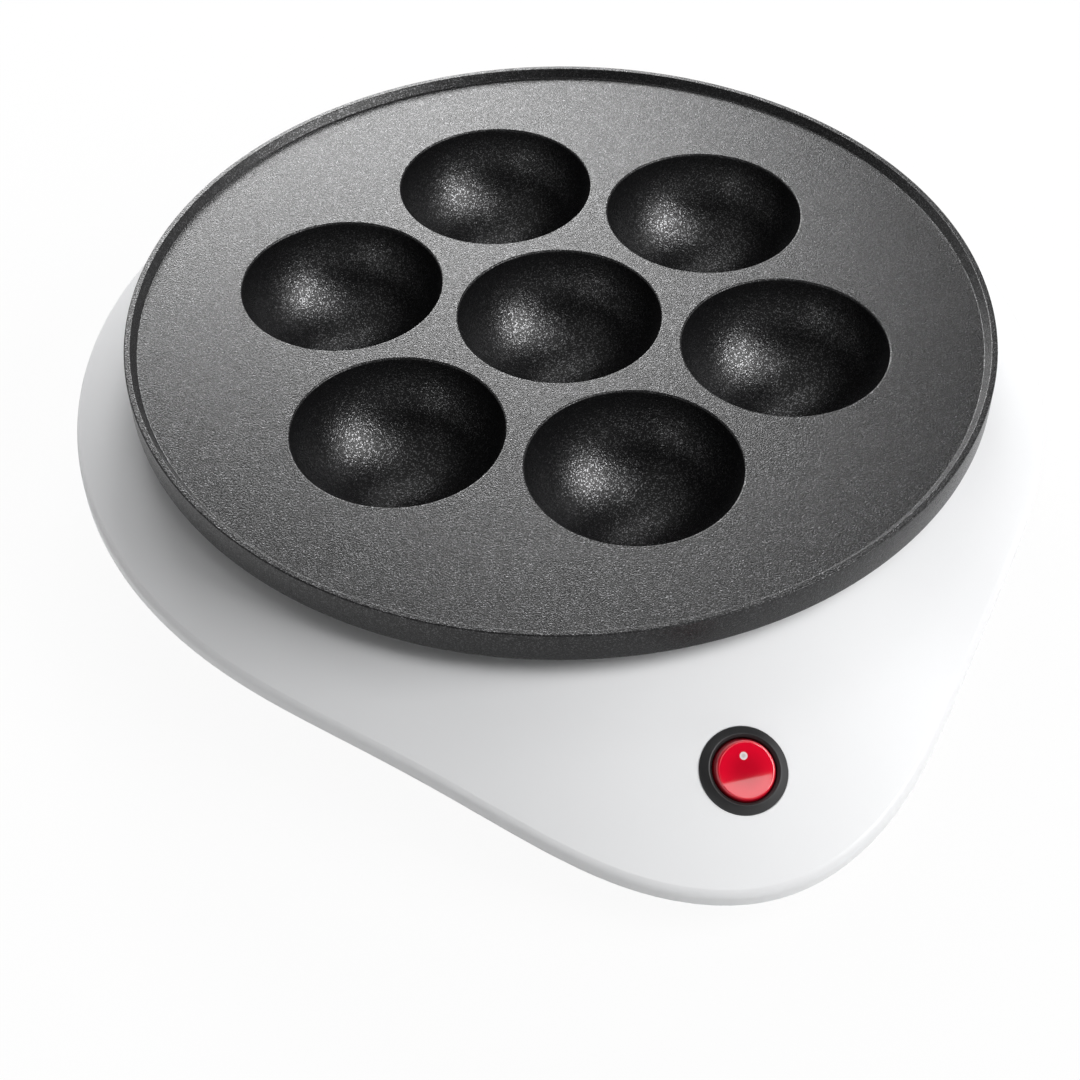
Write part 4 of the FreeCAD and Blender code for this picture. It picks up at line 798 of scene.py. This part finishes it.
def coating_finish(colours, size):
    """Dark non-stick coating: a pebbled skin with flecks, painted brighter down in the cups as a
    painted highlight and darker down the edge wall as painted shade.
    """
    finish = Finish("nonstick_coating")
    x, y, z = finish.axes(finish.place)
    away = (x * x + (y - PLATE_Y) * (y - PLATE_Y)) ** 0.5
    floor = PLATE_HIGH.z - size.rim_height
    low = 1 - z.step(floor - size.mouth * 0.3, floor)
    outside = away.above(size.radius - size.edge_wall - size.rim_slant)
    pebble = finish.noise(PEBBLE, 1.0)
    fleck = finish.cells(FLECK).step(*FLECK_LEVELS)
    dark = finish.toned(finish.noise(30 * MM), colours.coating, 0.85, 1.15)
    # Painted highlight in the cups and painted shade on the edge wall, both carried in the flecks'
    # colour.
    bright = finish.toned(low * (1 - outside), colours.coating_fleck, 1.0, CUP_PAINTED_HIGHLIGHT)
    bright = finish.blend(low * outside, bright, scaled(colours.coating_fleck, EDGE_PAINTED_SHADE))
    finish.set(
        Base_Color=finish.blend(fleck, dark, bright), Metallic=fleck,
        Roughness=finish.about(0.28, pebble, 0.16), IOR=1.39)
    finish.relief(pebble, PEBBLE_HEIGHT)
    return finish.material


def plastic_finish(name, tint, roughness, grain_size, grain_depth):
    """Moulded plastic with a faint skin grain and slight changes of tone."""
    finish = Finish(name)
    grain = finish.noise(grain_size, 3.0)
    cloud = finish.noise(45 * MM)
    finish.set(
        Base_Color=finish.toned(cloud, tint, 0.985, 1.01),
        Roughness=finish.about(finish.about(roughness, grain, 0.08), cloud, 0.05))
    finish.relief(grain, grain_depth)
    return finish.material


TURNED_RING = 0.32 * MM


def bezel_finish(colours, size):
    """Black plastic with fine turned rings about the switch's axis."""
    finish = Finish("black_bezel")
    x, y, _ = finish.local(switch_place(size))
    ring = ((x * x + y * y) ** 0.5 * (2 * pi / TURNED_RING)).sin()
    skin = finish.noise(0.3 * MM, 3.0)
    finish.set(
        Base_Color=finish.toned(skin, colours.bezel, 0.8, 1.3),
        Roughness=finish.about(0.40 + ring * 0.05, skin, 0.1))
    finish.relief(ring * 0.3 + skin, 0.012 * MM)
    return finish.material


def rocker_finish(colours, size):
    """Glossy red plastic, deeper red in its middle, with its side painted darker as painted shade,
    and a printed dot.
    """
    finish = Finish("red_rocker")
    x, y, z = finish.local(switch_place(size, size.tilt))
    middle = (x * x + y * y) ** 0.5
    cloud = finish.noise(3 * MM)
    red = finish.blend(
        middle.step(1.5 * MM, 6.5 * MM) * 0.85 + cloud * 0.15, scaled(colours.rocker, 0.7),
        colours.rocker)
    # Painted shade: the rocker's side below the face is painted a darker red.
    side = 1 - z.step(size.face * 0.5, size.face * 0.82)
    red = finish.blend(side, red, scaled(colours.rocker, 0.45))
    across, along = x - size.dot * 0.25, y - size.dot * 3.5
    far = (across * across + along * along) ** 0.5
    dot = (1 - far.step(size.dot * 0.88, size.dot * 1.05)) * (1 - side)
    core = 1 - far.step(size.dot * 0.3, size.dot * 0.7)
    paint = finish.toned(core, colours.rocker_dot, 1.0, 0.72)
    finish.set(
        Base_Color=finish.blend(dot, red, paint), Roughness=0.05 + cloud * 0.03 + dot * 0.2,
        Coat_Weight=1.0, Coat_Roughness=0.02, Coat_IOR=1.4)
    return finish.material


def rubber_finish(name, tint, roughness):
    finish = Finish(name)
    grain = finish.noise(0.25 * MM, 3.0)
    finish.set(
        Base_Color=finish.toned(grain, tint, 0.8, 1.25),
        Roughness=finish.about(roughness, grain, 0.2))
    finish.relief(grain, 0.02 * MM)
    return finish.material


def metal_finish(name, tint, roughness, stretch=(1.0, 1.0, 1.0)):
    """Metal with rolling marks along one direction and a few duller patches."""
    finish = Finish(name)
    marks = finish.noise(0.4 * MM, 4.0, stretch)
    patch = finish.noise(9 * MM, 3.0)
    finish.set(
        Base_Color=finish.toned(patch.step(0.45, 0.75), tint, 1.0, 0.82), Metallic=1.0,
        Roughness=finish.about(roughness, marks, 0.15) + patch.step(0.5, 0.8) * 0.12)
    finish.relief(marks, 0.008 * MM)
    return finish.material


HEAT_TINT = (0.15, 0.14, 0.17)


def sheath_finish(colours):
    """Steel tube that heat has dulled to uneven brown and blue."""
    finish = Finish("element_sheath")
    heat = finish.noise(14 * MM, 3.0)
    grain = finish.noise(0.3 * MM, 3.0)
    tint = finish.blend(heat.step(0.35, 0.65), colours.sheath, HEAT_TINT)
    finish.set(Base_Color=tint, Metallic=0.9, Roughness=0.42 + grain * 0.2)
    finish.relief(grain, 0.015 * MM)
    return finish.material


def ceramic_finish(colours):
    finish = Finish("ceramic")
    pits = finish.noise(0.5 * MM, 4.0)
    finish.set(
        Base_Color=finish.toned(pits.step(0.6, 0.7), colours.ceramic, 1.0, 0.85),
        Roughness=0.62 + pits * 0.2)
    finish.relief(pits, 0.03 * MM)
    return finish.material


STRAND = 6 * MM


def woven_finish(colours):
    """Braided glass fibre: two sets of crossing strands."""
    finish = Finish("woven_sleeve")
    strand = finish.node(
        "ShaderNodeTexWave",
        {"Vector": finish.place, "Scale": 1.0 / STRAND, "Distortion": 0.6}, output="Fac",
        bands_direction="DIAGONAL")
    finish.set(
        Base_Color=finish.toned(strand, colours.sleeve, 0.7, 1.0), Roughness=0.75 + strand * 0.1)
    finish.relief(strand, 0.08 * MM)
    return finish.material


def glass_finish(colours):
    finish = Finish("lamp_glass")
    smoke = finish.noise(1.5 * MM)
    finish.set(
        Base_Color=finish.toned(smoke, colours.glass, 0.9, 1.0), Roughness=0.04 + smoke * 0.06,
        Transmission_Weight=0.9)
    return finish.material


BRUSHED = (1.0, 12.0, 12.0)
FINISHES = {}


def make_finishes(colours, plate, switch):
    """One material for each slot of the record, and one for the bezel."""
    return {
        "nonstick_plate": coating_finish(colours, plate),
        "white_plastic": plastic_finish(
            "white_plastic", colours.housing, 0.36, 0.8 * MM, 0.006 * MM),
        "black_plastic": plastic_finish(
            "black_plastic", colours.bezel, 0.34, 0.35 * MM, 0.012 * MM),
        "bezel": bezel_finish(colours, switch),
        "red_rocker": rocker_finish(colours, switch),
        "black_rubber": rubber_finish("black_rubber", colours.rubber, 0.7),
        "silicone_grey": rubber_finish("grey_silicone", colours.silicone, 0.55),
        **{lead: rubber_finish(lead, getattr(colours, lead), 0.45)
           for lead in ("lead_brown", "lead_blue", "lead_green")},
        "plated_steel": metal_finish("plated_steel", colours.steel, 0.30),
        "reflector_steel": metal_finish("reflector_steel", colours.reflector, 0.28, BRUSHED),
        "sheath_steel": sheath_finish(colours),
        "brass": metal_finish("brass", colours.brass, 0.26, BRUSHED),
        "aluminium_cap": metal_finish("aluminium_cap", colours.aluminium, 0.32),
        "ceramic_white": ceramic_finish(colours),
        "sleeve_glass_fibre": woven_finish(colours),
        "lamp_glass": glass_finish(colours),
    }


# --- Operators ---


class FinishOperator(bpy.types.Operator):
    """Give every carried-over node the finish of its slot"""
    bl_idname = "takoyaki.finishes"
    bl_label = "Finishes"

    def execute(self, context):
        scene = context.scene
        FINISHES.update(make_finishes(
            scene.takoyaki_colours, scene.takoyaki_plate, scene.takoyaki_switch))
        for part in RECORD["subparts"]:
            materials = frame["nodes"][part["node"]].data.materials
            materials.clear()
            materials.append(FINISHES[part["material_slot"]])
        return {"FINISHED"}


def group_keys(group, start=""):
    """Names of a group's sizes that begin with start."""
    keys = [key for key in group.bl_rna.properties.keys() if key not in ("rna_type", "name")]
    return [key for key in keys if key.startswith(start)]


def settle(piece, body, slot, *nodes):
    """Hangs a piece on the body it rides on and hides the CAD nodes it stands for. The slot is not
    used.
    """
    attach(piece, body)
    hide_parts(*nodes)


def settle_ring(shape, part, points, slot, nodes, chosen=True):
    """Repeats a part round the plate's axis and settles what that makes on the base."""
    parts = shape.moved(shape.shaded(shape.repeated(part, points, chosen)), (0.0, PLATE_Y, 0.0))
    settle(shape.piece(parts, FINISHES[slot]), "base", slot, *nodes)


class PlateOperator(bpy.types.Operator):
    """Make the cast cooking plate with its cups"""
    bl_idname = "takoyaki.plate"
    bl_label = "Cooking plate"

    def execute(self, context):
        group = context.scene.takoyaki_plate
        shape = Shape("plate", group, group_keys(group))
        floor = PLATE_HIGH.z - group.rim_height
        plate = shape.moved(cooking_plate(shape), (0.0, PLATE_Y, floor))
        piece = shape.piece(plate, FINISHES["nonstick_plate"])
        settle(piece, "base", "nonstick_plate", "cooking_plate")
        return {"FINISHED"}


class SwitchOperator(bpy.types.Operator):
    """Make the round switch: bezel with case, and the red rocker"""
    bl_idname = "takoyaki.switch"
    bl_label = "Switch"

    def execute(self, context):
        size = context.scene.takoyaki_switch
        place = switch_place(size)
        reach = size.case + size.latch_reach
        parts = [turned(case_points(size), SWITCH_STEPS, place)]
        for side in (1, -1):
            latch = Matrix.Translation((side * (reach + size.cavity) / 2, 0.0, -LATCH_DEPTH))
            parts.append(bar((reach - size.cavity, LATCH_WIDTH, LATCH_HEIGHT), place @ latch))
        case = solid_piece("switch_case", parts, FINISHES["bezel"])
        settle(case, "base", "black_plastic", "switch_body")
        corners, faces = turned(rocker_points(size), SWITCH_STEPS)
        tilted = switch_place(size, size.tilt)
        parts = [([tilted @ corner for corner in dished(corners, size)], faces)]
        start = size.rocker - size.shell
        pin = rounded([
            (0.0, start), (size.trunnion, start), (size.trunnion, size.trunnion_reach, 0.3 * MM),
            (0.0, size.trunnion_reach)])
        axle = tilted @ Matrix.Translation((0.0, 0.0, -size.pivot))
        for side in (-1, 1):
            parts.append(turned(pin, PIN_STEPS, axle @ Matrix.Rotation(side * pi / 2, 4, "Y")))
        rocker = solid_piece("rocker_button", parts, FINISHES["red_rocker"])
        settle(rocker, "rocker", "red_rocker", "switch_rocker")
        return {"FINISHED"}


class FeetOperator(bpy.types.Operator):
    """Make the four rubber feet"""
    bl_idname = "takoyaki.feet"
    bl_label = "Feet"

    def execute(self, context):
        group = context.scene.takoyaki_small
        shape = Shape("feet", group, group_keys(group, "foot"))
        foot = rubber_foot(shape, shape.size)
        points = shape.ring(4, shape.size.foot_circle, radians(45))
        settle_ring(shape, foot, points, "black_rubber", [
            "foot_rear_right", "foot_rear_left", "foot_front_left", "foot_front_right"])
        return {"FINISHED"}


class FastenerOperator(bpy.types.Operator):
    """Make the screws of the housing and the bolts that carry the plate"""
    bl_idname = "takoyaki.fasteners"
    bl_label = "Screws and bolts"

    def execute(self, context):
        group = context.scene.takoyaki_small
        for name, kind, node, low, high in (
                ("cover_screws", "screw", "housing_screws", SCREW_LOW, SCREW_HIGH),
                ("long_bolts", "bolt", "plate_bolts", BOLT_LOW, BOLT_HIGH)):
            keys = group_keys(group, kind) + ["drive"]
            shape = Shape(name, group, keys)
            ring, *sizes = (getattr(shape.size, key) for key in keys)
            screw = slotted_screw(shape, low.z, high.z, *sizes)
            if kind == "screw":
                points, chosen = shape.ring(4, ring, radians(45)), True
            else:
                points, chosen = shape.ring(POST_PLACES, ring, 0.0), 1 - shape.every_third()
            settle_ring(shape, screw, points, "plated_steel", [node], chosen)
        return {"FINISHED"}


GLAND_STEPS = 72


class GlandOperator(bpy.types.Operator):
    """Make the soft bush that the supply cord passes through"""
    bl_idname = "takoyaki.gland"
    bl_label = "Cord gland"

    def execute(self, context):
        size = context.scene.takoyaki_small
        middle = (GLAND_LOW + GLAND_HIGH) / 2
        place = Matrix.Translation((middle.x, 0.0, middle.z)) @ Matrix.Rotation(-pi / 2, 4, "X")
        near, far = GLAND_LOW.y, GLAND_HIGH.y
        wall, face = near + size.gland_flange, far - size.gland_flange
        ring = rounded([
            (size.cord_hole, near), (size.gland, near, 0.5 * MM), (size.gland, wall, 0.3 * MM),
            (size.gland_neck, wall), (size.gland_neck, face), (size.gland, face, 0.3 * MM),
            (size.gland, far, 0.9 * MM), (size.gland * 0.66, far, 0.4 * MM),
            (size.cord_hole, far - 0.8 * MM, 0.2 * MM), (size.cord_hole, near)])
        corners, faces = turned(ring[:-1], GLAND_STEPS, place)
        last = len(corners) - GLAND_STEPS
        for i in range(GLAND_STEPS):
            j = (i + 1) % GLAND_STEPS
            faces.append([last + i, last + j, j, i])
        piece = solid_piece("gland", [(corners, faces)], FINISHES["black_rubber"])
        settle(piece, "base", "black_rubber", "cord_gland")
        return {"FINISHED"}


def direction(azimuth, elevation):
    """Direction turned by azimuth from straight behind to the right, at an elevation."""
    level = cos(elevation)
    return Vector((sin(azimuth) * level, cos(azimuth) * level, sin(elevation)))


def aim(thing, place, target, roll=0.0):
    """Puts a lamp or camera at place, looking at target."""
    thing.location = place
    thing.rotation_mode = "QUATERNION"
    look = (Vector(target) - Vector(place)).to_track_quat("-Z", "Y")
    thing.rotation_quaternion = look @ Quaternion((0, 0, 1), roll)


LAMP_DISTANCE = 1.25
# Name, azimuth, elevation and the two sides of each lamp.
LAMPS = (
    ("key", 127.0, 38.0, (0.72, 0.6)),
    ("back", 1.0, 25.0, (0.5, 0.22)),
    ("back_right", 18.0, 34.0, (0.3, 0.24)),
    ("back_low", -6.0, 15.0, (0.3, 0.22)),
    ("rim", 30.0, 42.0, (0.3, 0.5)),
    ("right", 88.0, 28.0, (0.3, 0.3)),
    ("overhead", 0.0, 60.0, (0.9, 0.2)),
    ("top", 157.0, 64.0, (0.56, 0.5)),
    ("fill", -80.0, 68.0, (1.5, 1.4)),
    ("low", -126.0, 12.0, (0.2, 0.22)),
)
FLOOR_STEPS = 96
FLOOR_PAINT = (0.80, 0.80, 0.80)
FLOOR_WHITE = 0.94
WHITE = (1.0, 1.0, 1.0)


def add_lamp(name, azimuth, elevation, size, watts):
    lamp = bpy.data.lights.new(name, "AREA")
    lamp.shape = "RECTANGLE"
    lamp.size, lamp.size_y = size
    lamp.energy = watts
    body = add_object(name, lamp)
    body.visible_camera = False
    centre = Vector((0.0, 0.0, PLATE_HIGH.z))
    place = centre + direction(radians(azimuth), radians(elevation)) * LAMP_DISTANCE
    aim(body, place, centre)


def add_camera(studio):
    camera = add_object("camera", bpy.data.cameras.new("camera"))
    back = direction(studio.azimuth + pi, studio.elevation)
    aim(camera, Vector(studio.aim) + back * studio.distance, studio.aim, studio.roll)
    camera.data.sensor_width = 36.0
    camera.data.lens = studio.lens
    bpy.context.scene.camera = camera


def floor_finish():
    """Pale floor: white where it is seen, with the shadow kept, and plain paint to light."""
    finish = Finish("pale_floor")
    paint = finish.node("ShaderNodeBsdfDiffuse", {"Color": FLOOR_PAINT})
    glow = finish.node("ShaderNodeEmission", {"Color": WHITE, "Strength": 1.0})
    seen = finish.node("ShaderNodeLightPath", output="Is Camera Ray")
    for ray in ("Is Glossy Ray", "Is Transmission Ray"):
        seen = seen.max(finish.node("ShaderNodeLightPath", output=ray))
    mixed = finish.node("ShaderNodeMixShader", {0: seen * FLOOR_WHITE, 1: paint, 2: glow})
    finish.feed(first_node(finish.tree, "OUTPUT_MATERIAL").inputs["Surface"], mixed)
    return finish.material


class StageOperator(bpy.types.Operator):
    """Make the pale floor, the soft lights, the even light all round and the camera"""
    bl_idname = "takoyaki.stage"
    bl_label = "Stage"

    def execute(self, context):
        studio = context.scene.takoyaki_studio
        bend = studio.floor_size / 4
        sweep = arc((studio.floor_size - bend, bend), bend, -pi / 2, 0.0, 8)
        line = [(0.0, 0.0)] + sweep + [(studio.floor_size, studio.wall_height)]
        corners, faces = turned(line, FLOOR_STEPS)
        inward = [face[::-1] for face in faces]
        solid_piece("pale_floor", [(corners, inward)], floor_finish())
        world = bpy.data.worlds.new("studio")
        world.use_nodes = True
        air = first_node(world.node_tree, "BACKGROUND")
        air.inputs["Color"].default_value = (*WHITE, 1.0)
        air.inputs["Strength"].default_value = studio.ambient
        context.scene.world = world
        for name, azimuth, elevation, size in LAMPS:
            add_lamp(name + "_light", azimuth, elevation, size, getattr(studio, name))
        add_camera(studio)
        context.scene.view_settings.view_transform = "Standard"
        return {"FINISHED"}


class TakoyakiPanel(bpy.types.Panel):
    """Sidebar list of the steps that dress the takoyaki maker"""
    bl_idname = "VIEW3D_PT_takoyaki"
    bl_label = "Takoyaki maker"
    bl_space_type = "VIEW_3D"
    bl_region_type = "UI"
    bl_category = "Takoyaki"

    def draw(self, context):
        for step in STEPS:
            self.layout.operator(step.bl_idname)


STEPS = (StageOperator, FinishOperator, PlateOperator, SwitchOperator, FeetOperator,
         FastenerOperator, GlandOperator)
GROUPS = {
    "takoyaki_plate": PlateSizes, "takoyaki_switch": SwitchSizes, "takoyaki_small": SmallPartSizes,
    "takoyaki_colours": FinishColours, "takoyaki_studio": StudioSettings,
}
CLASSES = (*GROUPS.values(), *STEPS, TakoyakiPanel)


def register():
    for kind in CLASSES:
        bpy.utils.register_class(kind)
    for name, group in GROUPS.items():
        setattr(bpy.types.Scene, name, PointerProperty(type=group))


def unregister():
    for name in GROUPS:
        delattr(bpy.types.Scene, name)
    for kind in reversed(CLASSES):
        bpy.utils.unregister_class(kind)


def main():
    register()
    for step in STEPS:
        area, name = step.bl_idname.split(".")
        getattr(getattr(bpy.ops, area), name)()


if __name__ == "__main__":
    main()
